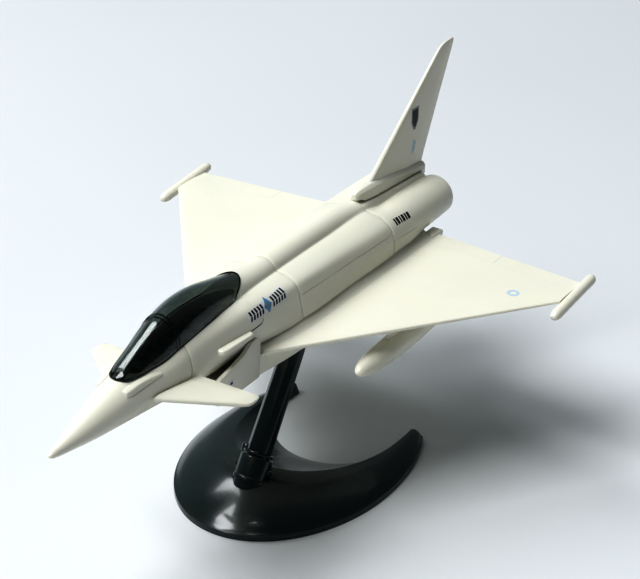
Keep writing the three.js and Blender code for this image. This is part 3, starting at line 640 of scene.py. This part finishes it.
def intake_box():
    half, floor, cheek = INTAKE["half"], INTAKE["floor"], INTAKE["cheek"]
    side = [(68, -2.2), (71.5, floor), (INTAKE_END, floor), (INTAKE_END, 2.6), (92, 4.3),
            (90.5, 4.8), (88, 4.2), (84, 2), (77, 0.2), (70, -1)]
    made = make_object("intake", prism(side, -half, half, SIDEWAYS))
    section = rounded_below(half, 8, floor, INTAKE["corner"], 8)
    carve(made, [prism(section, 60, 100, LENGTHWISE)], operation="INTERSECT")
    inside = half - cheek
    duct = block(INTAKE["web"], inside, 60, 90.5, floor + cheek, INTAKE["deck"] - 1.2)
    body = loft([hull_ring(y, -GAP) for y in np.linspace(62, INTAKE_END - 0.1, 22)]
                + [hull_ring(INTAKE_END - 0.1, -GAP, 97)])
    carve(made, [block(-inside, inside, 60, 97, INTAKE["deck"], 10), body, duct, mirrored(duct)])
    soften(made, 0.22)
    finish_piece(made, IVORY, "intake_box")


# ---- canopy and deck
DECK_TOP = 10.2


def canopy_arc(y, inset):
    width, sill, crown = arch(y)
    edge = math.acos(min(canopy_half(y) / width, 1.0))
    wide, high = max(width - inset, 0.1), max(crown - sill - inset, 0.15)
    return [(wide * math.cos(a), sill + high * math.sin(a))
            for a in np.linspace(edge, math.pi - edge, 49)]


def canopy():
    sections = []
    for y in canopy_stations():
        size = min(canopy_half(y), along(ARCH_CROWN, y) - along(ARCH_SILL, y))
        inside = canopy_arc(y, min(CANOPY["thick"], 0.5 * size))
        sections.append((y, canopy_arc(y, 0.0) + inside[::-1]))
    piece("canopy_glazing", stacked(sections), SMOKED, "canopy", body="canopy", angle=50)


def canopy_rim():
    """The dark moulded edge round the foot of the canopy."""
    port = [(canopy_half(y), y) for y in canopy_stations()]
    path = port + [(-x, y) for x, y in port[::-1]]
    rings = []
    for i, (x, y) in enumerate(path):
        out = -beside(path[i - 1], path[(i + 1) % len(path)], 2)
        width, base, crown = arch(y)
        if y > CANOPY["tail"]:
            base += (crown - base) * math.sqrt(max(1 - (x / width) ** 2, 0))
        rings.append([(x + out[0] * o, y + out[1] * o, base + h)
                      for o, h in ((0.06, -0.15), (0.06, 0.28), (-0.3, 0.42), (-0.5, -0.15))])
    piece("canopy_rim", loft(rings, closed_path=True), RIM_BLACK, body="canopy", angle=60)


def canopy_bow():
    """Two fine moulded lines over the canopy at the back of the windscreen."""
    section = ((-0.15, -0.3), (0.16, -0.14), (0.16, 0.14), (-0.15, 0.3))
    shapes = []
    for y in CANOPY["bows"]:
        width, sill, crown = arch(y)
        shapes.append(loft([[((width + o) * math.cos(a), y + d,
                              sill + (crown - sill + o) * math.sin(a)) for o, d in section]
                            for a in np.linspace(0, math.pi, 61)]))
    piece("canopy_bow", joined(*shapes), RIM_BLACK, body="canopy", angle=60)


def cockpit_deck():
    edge = [(3.4, 45), (4.8, 50), (4.8, 90), (3.2, 96)]
    outline = edge + [(-x, y) for x, y in edge[::-1]]
    piece("deck", prism(outline, 8.6, DECK_TOP), DECK_BLACK, "cockpit_deck", bevel=(0.25,))
    stud = [(DECK_TOP + h, r) for h, r in ((-0.1, 1.7), (1.45, 1.7), (1.6, 1.62), (1.68, 1.45))]
    studs = [turned(stud, 40, (x, y), UPRIGHT) for y in range(51, 92, 6) for x in (-2.4, 2.4)]
    piece("deck_studs", joined(*studs), DECK_BLACK)


# ---- wings
APEX, ROOT_TRAIL = (14.4, 94.2), (19.0, 207.4)
TIP_LEAD, TIP_TRAIL = (SPAN_X, 183.3), (SPAN_X, 200.8)
ROOT_THICK, TIP_THICK = 2.5, 1.5
FLAP = {"inner": 22.0, "outer": 76.0, "split": 47.0, "chord": 7.5, "width": 0.4, "depth": 0.13}
POD = {"tilt": math.radians(5), "place": (SPAN_X + 1.7, 191, -1.7)}
# Across from the middle, by (y, x): the root strip's own side, and the hull's side above it.
STRIP_SIDE = [(94.2, 14.2), (94.8, 14.9), (FORE_JOINT, 18.6), (150, 19.2), (211, 19.2)]
HULL_SIDE = [(93, 13.3), (FORE_JOINT, 16.6), (148, 17.0), (REAR_JOINT, 17.0),
             (WING_LAYER_END, 14.4), (211, 13.6)]


def wing_edges(x):
    """Leading and trailing edge at a span station, and the share of the way to the tip."""
    t = (x - APEX[0]) / (SPAN_X - APEX[0])
    slope = (TIP_TRAIL[1] - ROOT_TRAIL[1]) / (TIP_TRAIL[0] - ROOT_TRAIL[0])
    return APEX[1] + t * (TIP_LEAD[1] - APEX[1]), ROOT_TRAIL[1] + (x - ROOT_TRAIL[0]) * slope, t


def wing_ends(lead, trail):
    """Lengths of the tapers behind the leading edge and before the trailing edge."""
    return min(6, (trail - lead) / 4), min(40, (trail - lead) / 2)


def wing_height(x, y, side=1.0):
    """Height of the upper (side 1) or lower (-1) surface."""
    lead, trail, t = wing_edges(x)
    nose, tail = wing_ends(lead, trail)
    half = straight([(lead, 0), (lead + 0.15, 0.17), (lead + 0.4, 0.27), (lead + 1.2, 0.38),
                     (lead + nose, 0.5), (trail - tail, 0.5), (trail, 0.2)], y)
    thick = ROOT_THICK + t * (TIP_THICK - ROOT_THICK)
    droop = -0.6 * (trail - y) / (ROOT_TRAIL[1] - APEX[1])
    return -1.9 + 0.9 * t + side * half * thick + droop


def wing_ring(x):
    lead, trail, _ = wing_edges(x)
    nose, tail = wing_ends(lead, trail)
    stations = [lead, lead + 0.06, lead + 0.15, lead + 0.4, lead + 1.2, lead + nose,
                lead + (trail - lead) * 0.45, trail - tail, trail - tail * 0.5, trail - 0.3, trail]
    upper = [(y, wing_height(x, y)) for y in stations]
    return upper + [(y, wing_height(x, y, -1.0)) for y in stations[:0:-1]]


def strip_ring(y):
    """The root strip across at y: its top rises in a hollow curve from the wing to the hull."""
    reach = APEX[0] + (y - APEX[1]) / 1.358
    side, hull_side = straight(STRIP_SIDE, y), straight(HULL_SIDE, y)
    inner = min(hull_side - 0.3, side - 0.5)
    outer = max(min(max(hull_side + 3.6, side + 1.4), reach - 0.5), side + 0.05)
    top = layer_top(y) - GAP if y < WING_LAYER_END - 0.2 else TAB_TOP
    foot = wing_height(outer, min(y, wing_edges(outer)[1] - 0.4)) - 0.12
    under = wing_height(side, min(y, wing_edges(side)[1] - 0.4), -1.0)
    ring = [(11, LAYER_BOTTOM), (side - 0.3, LAYER_BOTTOM), (side, LAYER_BOTTOM + 0.3),
            (side, max(under, LAYER_BOTTOM + 0.4) + 0.1), (outer, foot)]
    for share in (0.75, 0.5, 0.32, 0.18, 0.08):
        ring.append((inner + (outer - inner) * share, foot + (top - foot) * (1 - share) ** 2.2))
    return ring + [(inner, top), (11, top)]


def flap_lines():
    """Tools for the faint lines of the trailing-edge flaps, on both surfaces."""
    inner, split, outer = ((FLAP[key], wing_edges(FLAP[key])[1] - FLAP["chord"])
                           for key in ("inner", "split", "outer"))
    tools = []
    for start, end in ((inner, outer), (split, (FLAP["split"], 210))):
        side = beside(start, end, FLAP["width"])
        for surface in (1, -1):
            rings = []
            for share in np.linspace(0, 1, 12):
                x, y = (a + (b - a) * share for a, b in zip(start, end))
                level = wing_height(x, min(y, wing_edges(x)[1]), surface)
                rings.append([(x + side[0], y + side[1], level + surface * 0.5),
                              (x - side[0], y - side[1], level + surface * 0.5),
                              (x, y, level - surface * FLAP["depth"])])
            tools.append(loft(rings))
    return tools


def wing(side):
    spans = [15.2, *np.linspace(18, SPAN_X - 0.3, 24), SPAN_X]
    sided(side, "wing_panel", stacked([(x, wing_ring(x)) for x in spans], SIDEWAYS), "wing",
          cuts=flap_lines(), angle=25)
    stations = [94.25, 94.6, *np.linspace(95.2, WING_LAYER_END - 0.5, 60), WING_LAYER_END - 0.1]
    sided(side, "wing_root_strip", stacked([(y, strip_ring(y)) for y in stations]), angle=40)
    tab = block(14.6, 19.2, WING_LAYER_END - 1, 211.0, LAYER_BOTTOM, TAB_TOP)
    sided(side, "wing_root_tab", tab, bevel=(0.4, 3))


def tip_pod(side):
    profile = [(-16, 0.05), (-15.9, 0.55), (-15.6, 1.05), (-15, 1.45), (-14.2, 1.75),
               (-13, 1.93), (13.4, 1.93), (14.5, 1.72), (15.2, 1.35), (15.6, 0.9),
               (15.85, 0.45), (15.9, 0.05)]
    points, faces = turned(profile, 40)
    shape = rotated(points, 1, 2, POD["tilt"]) + POD["place"], faces
    sided(side, "tip_pod", shape, "wingtip_pod", angle=60)


# ---- foreplanes
CANARD = {"y": 51.5, "z": 3.1, "peg": 0.8, "inner": 5.0, "outer": 11.2}


def blade_section(lead, trail, half, centre):
    """A flat-sided section with a rounded front and a thin back, as (along, out) pairs."""
    chord = trail - lead
    rows = [(0, 0), (0.006, 0.35), (0.02, 0.62), (0.06, 0.82), (0.15, 0.94), (0.3, 1),
            (0.7, 0.9), (0.985, 0.42), (1, 0.28)]
    upper = [(lead + part * chord, centre + out * half) for part, out in rows]
    lower = [(lead + part * chord, centre - out * half) for part, out in rows[:0:-1]]
    return upper + lower


def canard(side):
    edges = [(9.3, 40.9, 53), (11.8, 43.2, 62.8), (29.6, 61, 69), (30.4, 62.2, 68.7),
             (30.8, 63.6, 67.4)]
    sections = []
    for x in (9.3, 10.2, 11.0, 11.8, 14, 17, 20, 23, 26, 28, 29.6, 30.1, 30.4, 30.65, 30.8):
        half = 0.9 if x <= 28 else 0.9 - 0.4 * (x - 28) / 2.8
        sections.append((x, blade_section(straight(edges, x), straight(edges, x, 2), half,
                                          3.6 - (x - 9) * 0.235)))
    cheek = loft([hull_ring(y, -0.4) for y in np.linspace(36, 70, 24)])
    peg = turned([(CANARD["inner"], CANARD["peg"]), (CANARD["outer"], CANARD["peg"])], 24,
                 (CANARD["y"], CANARD["z"]), SIDEWAYS)
    sided(side, "foreplane", stacked(sections, SIDEWAYS), "canard", cuts=[cheek], adds=[peg],
          body=f"canard_{SIDES[side]}", angle=30)


def side_strake(side):
    outline = [(11, 72.4), (13.3, 72.0), (14.3, 72.4), (14.8, 73.6), (15.5, 87), (15.3, 88.4),
               (14.2, 89.2), (11.4, 89.2)]
    sided(side, "strake", prism(outline, 6.3, 8.3), "side_strake", bevel=(0.75, 5), angle=60)


# ---- fin
FIN_ROWS = [(13, 179.2, 224.2, 1.5), (22, 187, 228.2, 1.4), (40, 210.8, 236.9, 1.05),
            (56, 231.8, 244.8, 0.75), (58, 234.6, 245.7, 0.62), (58.9, 236.6, 245.85, 0.5),
            (59.35, 238.6, 245.5, 0.38), (59.5, 240.2, 244.6, 0.25)]
FAIRING = [(176.6, 1, 18.5, 20.6), (177.0, 1.4, 18.45, 21.1), (177.6, 1.7, 18.4, 21.5),
           (179.5, 2.1, 18.2, 21.9), (181, 2.4, 17.3, 22), (187, 2.7, 16.8, 22.1),
           (200, 2.7, 15.9, 20.7), (213, 2.4, 14.9, 18.6), (TAIL_END + GAP, 2.1, 13.9, 17.1),
           (TAIL_END + 2 * GAP, 2.1, 11.8, 17), (226.4, 2, 11.8, 16.5)]


def fin_station(z):
    """Leading edge, trailing edge and half thickness of the blade at a height."""
    return [straight(FIN_ROWS, z, k) for k in (1, 2, 3)]


def fin_side(z, y):
    """Half thickness of the fin blade at a point of its port face."""
    return straight(blade_section(*fin_station(z), 0)[:9], y)


def tail_fin():
    heights = [13, *np.linspace(16, 58, 22), 58.5, 58.9, 59.15, 59.35, 59.5]
    blade = stacked([(z, blade_section(*fin_station(z), 0)) for z in heights], (1, 0, 2))
    root = prism([(170, 10), (170, 19.5), (182, 19.5), (223, 15.5), (226.2, 15.2), (226.2, 10)],
                 -5, 5, SIDEWAYS)
    piece("fin_blade", blade, IVORY, "tail_fin", cuts=[root], angle=28)
    sections = []
    for y, half, low, high in FAIRING:
        port = [(half, low), (half, high - 1.4), (half * 0.55, high - 0.2)]
        sections.append((y, port + [(0, high)] + [(-x, z) for x, z in port[::-1]]))
    piece("fin_fairing", stacked(sections), IVORY, bevel=(0.3, 3, 30))


# ---- stores and nozzles
TANK = {"x": 37.0, "z": -14.0, "nose": 119.6, "length": 66.0, "radius": 4.3}
PETALS = 16


def drop_tank(side):
    rows = [(0, 0.03), (0.002, 0.14), (0.01, 0.3), (0.022, 0.43), (0.04, 0.55), (0.08, 0.71),
            (0.12, 0.81), (0.17, 0.89), (0.22, 0.95), (0.35, 1), (0.5, 1), (0.62, 0.97),
            (0.72, 0.88), (0.8, 0.76), (0.87, 0.6), (0.93, 0.42), (0.97, 0.26), (1, 0.12)]
    profile = [(TANK["nose"] + part * TANK["length"], r * TANK["radius"]) for part, r in rows]
    sided(side, "tank", turned(profile, 56, (TANK["x"], TANK["z"])), "drop_tank", angle=60)


def pylon(side):
    x = TANK["x"]
    outline = [(x, 139), (x + 0.45, 140), (x + 0.8, 142.5), (x + 0.8, 165), (x, 170),
               (x - 0.8, 165), (x - 0.8, 142.5), (x - 0.45, 140)]
    shape = prism(outline, TANK["z"] + TANK["radius"] - 0.6, -2.6)
    sided(side, "pylon", shape, "tank_pylon", bevel=(0.12,))


def nozzle(side):
    """A stepped exhaust ring with shallow petals and a cone deep inside."""
    outer = BORE["radius"] - GAP
    profile = [(BORE["y"] + 1, outer), (TAIL_END - 0.9, outer), (TAIL_END - 0.6, outer - 0.25),
               (TAIL_END - 0.6, outer - 0.75), (TAIL_END - 1.0, outer - 0.9),
               (217, outer - 1.5), (214, outer - 1.9), (213.8, outer - 2.6), (209, outer - 2.8),
               (209, 0.9), (212.5, 0.05)]
    points, faces = turned(profile, 96)
    for point in points:
        reach = math.hypot(point[0], point[2])
        if outer - 2 < reach < outer - 0.8:
            petal = math.cos(PETALS * math.atan2(point[2], point[0]))
            point[[0, 2]] *= 1 - 0.03 * max(0.0, petal) ** 6
    sided(side, "nozzle", (points + [BORE["x"], 0, BORE["z"]], faces), "exhaust_nozzle")


# ---- stand
POST = {"foot": 8.3, "head": 7.5, "bevel": 2.1, "plug": 4.2, "plug_length": 8.0, "length": 53.2,
        "lean": math.radians(36.4), "foot_at": (0, 113.5, 17.5)}
TONGUE = {"width": 4.0, "depth": 4.6, "length": 13.0}
COLLAR = {"outer": 6.0, "bore": 4.5, "below": 12.0}
# Curves of the base: half-width, centre, reach to the front and rear, angle of the tips.
BASE = {"turn": math.radians(-3.6), "pivot": 140.0, "rim": 2.3, "ridge": 13.4, "tip_ridge": 5.0,
        "outer": (39, 140, 53, 59, 129.5), "crest": (27.6, 158, 42, 57, 108.4),
        "foot": (26, 171, 29.4, 47, 98)}
# Share of the way from the rim to the crest, and the share of the height there.
BASE_DOME = [(0, 0), (0.12, 0.27), (0.35, 0.62), (0.65, 0.93), (0.85, 0.995), (1, 1.0)]


def leaned(shape):
    """From the post's own frame, z up the post, to the stand frame."""
    return rotated(shape[0], 1, 2, -POST["lean"]) + POST["foot_at"], shape[1]


def standing(name, shape, body, *nodes, **more):
    """A black piece given in the post's own frame."""
    piece(name, leaned(shape), BLACK, *nodes, place=from_stand, body=body, **more)


def post_ring(half):
    """The octagon across the post, as (x, y) pairs."""
    bevel = half - POST["bevel"]
    return [(half, bevel), (bevel, half), (-bevel, half), (-half, bevel),
            (-half, -bevel), (-bevel, -half), (bevel, -half), (half, -bevel)]


def post_shadow():
    """The room the post's head takes in the belly, in the stand frame."""
    return leaned(prism(post_ring(POST["head"] / 2 + GAP), 30, POST["length"]))


def stand_post():
    plug, length = POST["plug"], POST["length"]
    shaft = stacked([(1.2, post_ring(POST["foot"] / 2)),
                     (length - GAP, post_ring(POST["head"] / 2))], UPRIGHT)
    standing("post_shaft", shaft, "post", "stand_post", bevel=(0.35, 3, 20), angle=20)
    ring = turned([(-POST["plug_length"], plug), (0.35, plug), (0.4, 5.0), (0.5, 5.3),
                   (0.75, 5.5), (1.3, 5.5), (1.55, 5.35), (1.65, 5.05), (1.65, 3)], 64,
                  axes=UPRIGHT)
    standing("post_ring", ring, "post", angle=40)
    points, faces = turned([(0.3, 1.9), (2.6, 1.9), (3.0, 1.75), (3.2, 1.4)], 32, axes=UPRIGHT)
    slot = leaned(block(-8, -4.9, -0.75, 0.75, 1.2, 4))
    standing("post_lug", (points * [1.05, 1, 1] - [5, 0, 0], faces), "post", cuts=[slot],
             bevel=(0.15,), angle=50)
    wide, deep = TONGUE["width"] / 2, TONGUE["depth"] / 2
    tongue = block(-wide, wide, -deep, deep, length - 1, length + TONGUE["length"] - 1)
    standing("post_tongue", tongue, "post", bevel=(0.3,))


def base_point(curve, part):
    """A point of one of the crescent's curves, its tips at parts -1 and 1."""
    x, centre, front, rear, tip = curve
    a = math.radians(tip * part)
    reach = front if math.cos(a) > 0 else rear
    return np.array([x * math.sin(a), centre - reach * math.cos(a), 0.0])


def base_ring(part, shrink=0.0):
    """A section across the crescent: rim, dome, crest and the inner slope."""
    high = BASE["ridge"] + (BASE["tip_ridge"] - BASE["ridge"]) * abs(part) ** 1.2
    rim = BASE["rim"]
    outer, crest, foot = (base_point(BASE[key], part) for key in ("outer", "crest", "foot"))
    centre = (outer + foot) / 2
    outer, crest, foot = (p + (centre - p) * shrink for p in (outer, crest, foot))
    high -= shrink * high * 0.5
    rise = crest - outer
    ledge = 0.45 / np.linalg.norm(rise)
    ring = [(outer, 0.0), (outer, rim - 0.5), (outer + rise * ledge * 0.25, rim - 0.12),
            (outer + rise * ledge * 0.8, rim)]
    for t in np.linspace(0, 1, 26)[1:]:
        ring.append((outer + rise * (ledge + (1 - ledge) * t),
                     rim + (high - rim) * along(BASE_DOME, t)))
    for t, share in ((0.02, 0.985), (0.06, 0.95), (0.25, 0.77), (0.5, 0.55), (0.75, 0.33),
                     (0.96, 0.13), (1.0, 0.08)):
        ring.append((crest + (foot - crest) * t, high * share))
    ring.append((foot, 0.0))
    return [(p[0], p[1], max(z, 0.0)) for p, z in ring]


def turned_base(shape):
    """The crescent turned a little about the upright through its pivot."""
    pivot = [0, BASE["pivot"], 0]
    return rotated(np.asarray(shape[0], float) - pivot, 0, 1, BASE["turn"]) + pivot, shape[1]


def stand_base():
    parts = [-1, -0.998, *np.linspace(-0.993, 0.993, 95), 0.998, 1]
    shrinks = [0.16, 0.05] + [0] * 95 + [0.05, 0.16]
    crescent = loft([base_ring(part, shrink) for part, shrink in zip(parts, shrinks)])
    inside = [[(x, y, z - 1.8) if z > 1.8 else (x, y, -1.0) for x, y, z in base_ring(part, 0.12)]
              for part in np.linspace(-0.9, 0.9, 61)]
    outer, bore = COLLAR["outer"], COLLAR["bore"]
    socket = turned([(-POST["plug_length"] - GAP, bore), (3, bore)], 64, axes=UPRIGHT)
    piece("crescent", turned_base(crescent), BLACK, "stand_base", place=from_stand, body="base",
          cuts=[turned_base(loft(inside)), leaned(socket)])
    wall = [(-COLLAR["below"], bore), (-COLLAR["below"], outer - 0.1), (-9.0, outer - 0.1),
            (-9.0, outer + 0.55), (-7.9, outer + 0.55), (-7.6, outer + 0.42),
            (-7.4, outer + 0.2), (-0.6, outer - 0.05), (-0.3, outer - 0.12), (-0.08, outer - 0.35),
            (0, outer - 0.6), (0, bore + 0.2), (-0.2, bore)]
    rings = [[(r * math.cos(a), r * math.sin(a), z) for z, r in wall]
             for a in np.linspace(0, 2 * math.pi, 72, endpoint=False)]
    notch = leaned(block(-8, -4, -1.4 - GAP, 1.4 + GAP, -0.9, 2))
    standing("socket_collar", loft(rings, closed_path=True), "base", cuts=[notch], angle=40)
    tabs = [block(x - 0.7, x + 0.7, -1.2, 1.2, -5.2, -3.4) for x in (6.3, -6.3)]
    standing("collar_tabs", joined(*tabs), "base", bevel=(0.3, 3))


# ---- decals, all generic, and one dark film line of painted groove shade
def film_patch(corners, place, thick, step=0.5):
    """A four-cornered patch of film, cut finely enough to follow the surface under it."""
    a, b, c, d = (np.array(corner, float) for corner in corners)
    across, up = (max(1, math.ceil(max(np.linalg.norm(p), np.linalg.norm(q)) / step))
                  for p, q in ((b - a, c - d), (d - a, c - b)))
    rings = []
    for t in np.linspace(0, 1, across + 1):
        low, high = a + (b - a) * t, d + (c - d) * t
        column = [low + (high - low) * k / up for k in range(up + 1)]
        rings.append([place(u, v, thick) for u, v in column]
                     + [place(u, v, -0.06) for u, v in column[::-1]])
    return loft(rings)


def patch(name, place, corners_list, finish, thick=0.06):
    """Film pieces set on a surface by place(u, v, lift)."""
    piece(name, joined(*(film_patch(c, place, thick) for c in corners_list)), finish, angle=60)


def decals_and_groove_shade():
    def on_cheek(u, v, lift):
        y = 90 + u
        return hull_point(y, along([(89, 12.2), (100, 12.9), (111, 13.6)], y) + v, lift)

    bars = []
    for start in (0.1, 12.4):
        for k in range(5):
            u = start + k * 1.55
            bars.append([(u, -1.5), (u + 0.8, -1.5), (u + 1.3, -0.1), (u + 0.5, -0.1)])
            bars.append([(u + 0.5, 0.1), (u + 1.3, 0.1), (u + 0.8, 1.5), (u, 1.5)])
    patch("flank_band_film", on_cheek, [rectangle(-0.6, 20.6, -1.9, 1.8)], FILM_WHITE)
    patch("flank_band_bars", on_cheek, bars, FILM_BLACK, 0.09)
    for name, wide, high, finish, thick in (("diamond", 2.0, 2.3, FILM_BLUE, 0.12),
                                            ("core", 0.8, 0.9, FILM_GREY, 0.15)):
        patch(f"flank_band_{name}", on_cheek,
              [[(10 - wide, 0), (10, -high), (10 + wide, 0), (10, high)]], finish, thick)
    # A thin dark film along the strake line, painted as the shade of an engraved groove there.
    lines = [[(y0, z0 - 0.2), (y1 + 0.1, z1 - 0.2), (y1 + 0.25, z1 + 0.12), (y0, z0 + 0.2)]
             for (y0, z0), (y1, z1) in zip(STRAKE_LINE, STRAKE_LINE[1:])]
    patch("flank_line_film", hull_point, lines, FILM_BLACK, 0.03)

    def on_cowl(u, v, lift):
        return hull_point(181.6 + u, 11.9 - 0.05 * u + v, lift)

    bars = ((0.2, 0.9), (1.7, 1.3), (3.8, 0.7), (5.2, 1.3), (7.2, 0.8), (8.6, 1.3))
    patch("cowl_bars", on_cowl, [rectangle(u, u + w, -1.0, 0.9) for u, w in bars], FILM_BLACK)

    def on_wing(u, v, lift):
        x, y = 64 + u, 179.3 + v
        return np.array([x, y, wing_height(x, y) + lift])

    inner, outer = ([(r * math.cos(a), r * math.sin(a)) for a in np.linspace(0, 2 * math.pi, 33)]
                    for r in (1.2, 2.2))
    patch("wing_ring_film", on_wing, list(zip(inner, outer, outer[1:], inner[1:])),
          FILM_PALE_BLUE)

    def on_fin(u, v, lift):
        y, z = 217.5 + u, 37 + v
        return np.array([fin_side(z, y) + lift, y, z])

    for name, scale, finish, thick in (("film", 1.0, FILM_GREY, 0.06),
                                       ("core", 0.78, FILM_BLACK, 0.09)):
        wide, top, waist, tip = 2.5 * scale, 3.8 * scale, -1.8 * scale, -4.8 * scale
        patch(f"fin_shield_{name}", on_fin,
              [rectangle(-wide, wide, waist, top),
               [(-0.3 * wide, tip), (0.3 * wide, tip), (wide, waist), (-wide, waist)]],
              finish, thick)
    patch("fin_oval_film", on_fin,
          [[(-1.2, -14.2), (0.6, -13.4), (1.6, -10.4), (-0.2, -8.6)]], FILM_PALE_BLUE)

    def on_intake(u, v, lift):
        return np.array([INTAKE["half"] + lift, 76.6 + u, -5.1 + v])

    patch("intake_film", on_intake, [rectangle(-1.7, 1.7, -1.1, 1.1)], FILM_WHITE)
    patch("intake_film_dot", on_intake, [rectangle(-0.6, 0.6, -0.5, 0.4)], FILM_BLACK, 0.09)


# ---- stage
CAMERA = {"azimuth": 31.31, "elevation": 30.20, "roll": -0.364, "lens": 124.94,
          "place": (0.3531, -0.42548 + ORIGIN_Y, 0.46024)}

KEY = {"place": (-0.5, -1.05, 2.2), "size": (1.2, 1.2), "power": 41,
       "colour": (0.975, 0.985, 1.0)}
LEFT = {"place": (-1.15, 0.25, 2.1), "size": (0.5, 1.3), "power": 13,
        "colour": (0.97, 0.99, 1.0)}
LIT_POINT = (0, 0, 0.05)
FLOOR_RADIUS = 3.0
# The studio is bright behind the starboard wing and dark on the port side.
WORLD = {"towards": (-0.8, 0.55, 0.22), "bright": 0.30, "dark": 0.09,
         "colour": (0.86, 0.95, 1.0)}


def camera():
    a, e, roll = (math.radians(CAMERA[key]) for key in ("azimuth", "elevation", "roll"))
    back = Vector((math.sin(a) * math.cos(e), -math.cos(a) * math.cos(e), math.sin(e)))
    right = Vector((0, 0, 1)).cross(back).normalized()
    right = right * math.cos(roll) - back.cross(right) * math.sin(roll)
    data = bpy.data.cameras.new("camera")
    data.sensor_width = 36
    data.lens = CAMERA["lens"]
    data.clip_start, data.clip_end = 0.01, 20
    made = added("camera", data)
    turn = Matrix((right, back.cross(right), back)).transposed().to_4x4()
    made.matrix_world = Matrix.Translation(Vector(CAMERA["place"])) @ turn
    bpy.context.scene.camera = made


def area_light(name, place, size, power, colour):
    data = bpy.data.lights.new(name, "AREA")
    data.shape = "RECTANGLE"
    data.size, data.size_y = size
    data.energy = power
    data.color = colour
    made = added(name, data)
    made.location = place
    made.rotation_mode = "QUATERNION"
    made.rotation_quaternion = (Vector(LIT_POINT) - Vector(place)).to_track_quat("-Z", "Y")


def studio():
    """Soft world light of one tint, brighter from one side."""
    world = bpy.data.worlds.new("studio")
    world.use_nodes = True
    tree = world.node_tree
    where, facing, ramp = (tree.nodes.new(f"ShaderNode{one}")
                           for one in ("TexCoord", "VectorMath", "MapRange"))
    facing.operation = "DOT_PRODUCT"
    facing.inputs[1].default_value = WORLD["towards"]
    ramp.interpolation_type = "SMOOTHSTEP"
    for socket, value in (("From Min", -0.3), ("From Max", 1.0), ("To Min", WORLD["dark"]),
                          ("To Max", WORLD["bright"])):
        ramp.inputs[socket].default_value = value
    shade = tree.nodes["Background"]
    shade.inputs["Color"].default_value = (*WORLD["colour"], 1)
    tree.links.new(where.outputs["Generated"], facing.inputs[0])
    tree.links.new(facing.outputs["Value"], ramp.inputs["Value"])
    tree.links.new(ramp.outputs["Result"], shade.inputs["Strength"])
    bpy.context.scene.world = world


def stage():
    turns = np.linspace(0, 2 * math.pi, 64, endpoint=False)
    disc = [(FLOOR_RADIUS * math.cos(a), FLOOR_RADIUS * math.sin(a), 0) for a in turns]
    mesh = bpy.data.meshes.new("floor")
    mesh.from_pydata(disc, [], [list(range(len(disc)))])
    floor = added("floor", mesh)
    paper = material("pale_paper", (0.72, 0.73, 0.74), 0.75)
    vary_colour(paper, 3, (0.71, 0.72, 0.73), (0.73, 0.74, 0.75))
    mesh.materials.append(paper)
    area_light("key", **KEY)
    area_light("left", **LEFT)
    studio()
    view = bpy.context.scene.view_settings
    view.view_transform = "Standard"
    view.look = "High Contrast"
    view.gamma = 0.77


# ---- assembly
for make in (nose_section, fore_strakes, cockpit_section, middle_section, rear_section,
             belly_shell, intake_box, canopy, canopy_rim, canopy_bow, cockpit_deck):
    make()
for side in SIDES:
    for make_side in (wing, tip_pod, canard, side_strake, drop_tank, pylon, nozzle):
        make_side(side)
tail_fin()
stand_post()
stand_base()
decals_and_groove_shade()
for node in ("wing_box", "nose_joint_peg", "fore_joint_peg", "rear_joint_peg", "post_socket"):
    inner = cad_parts[node]
    inner.data.materials.clear()
    inner.data.materials.append(IVORY)
stage()
camera()
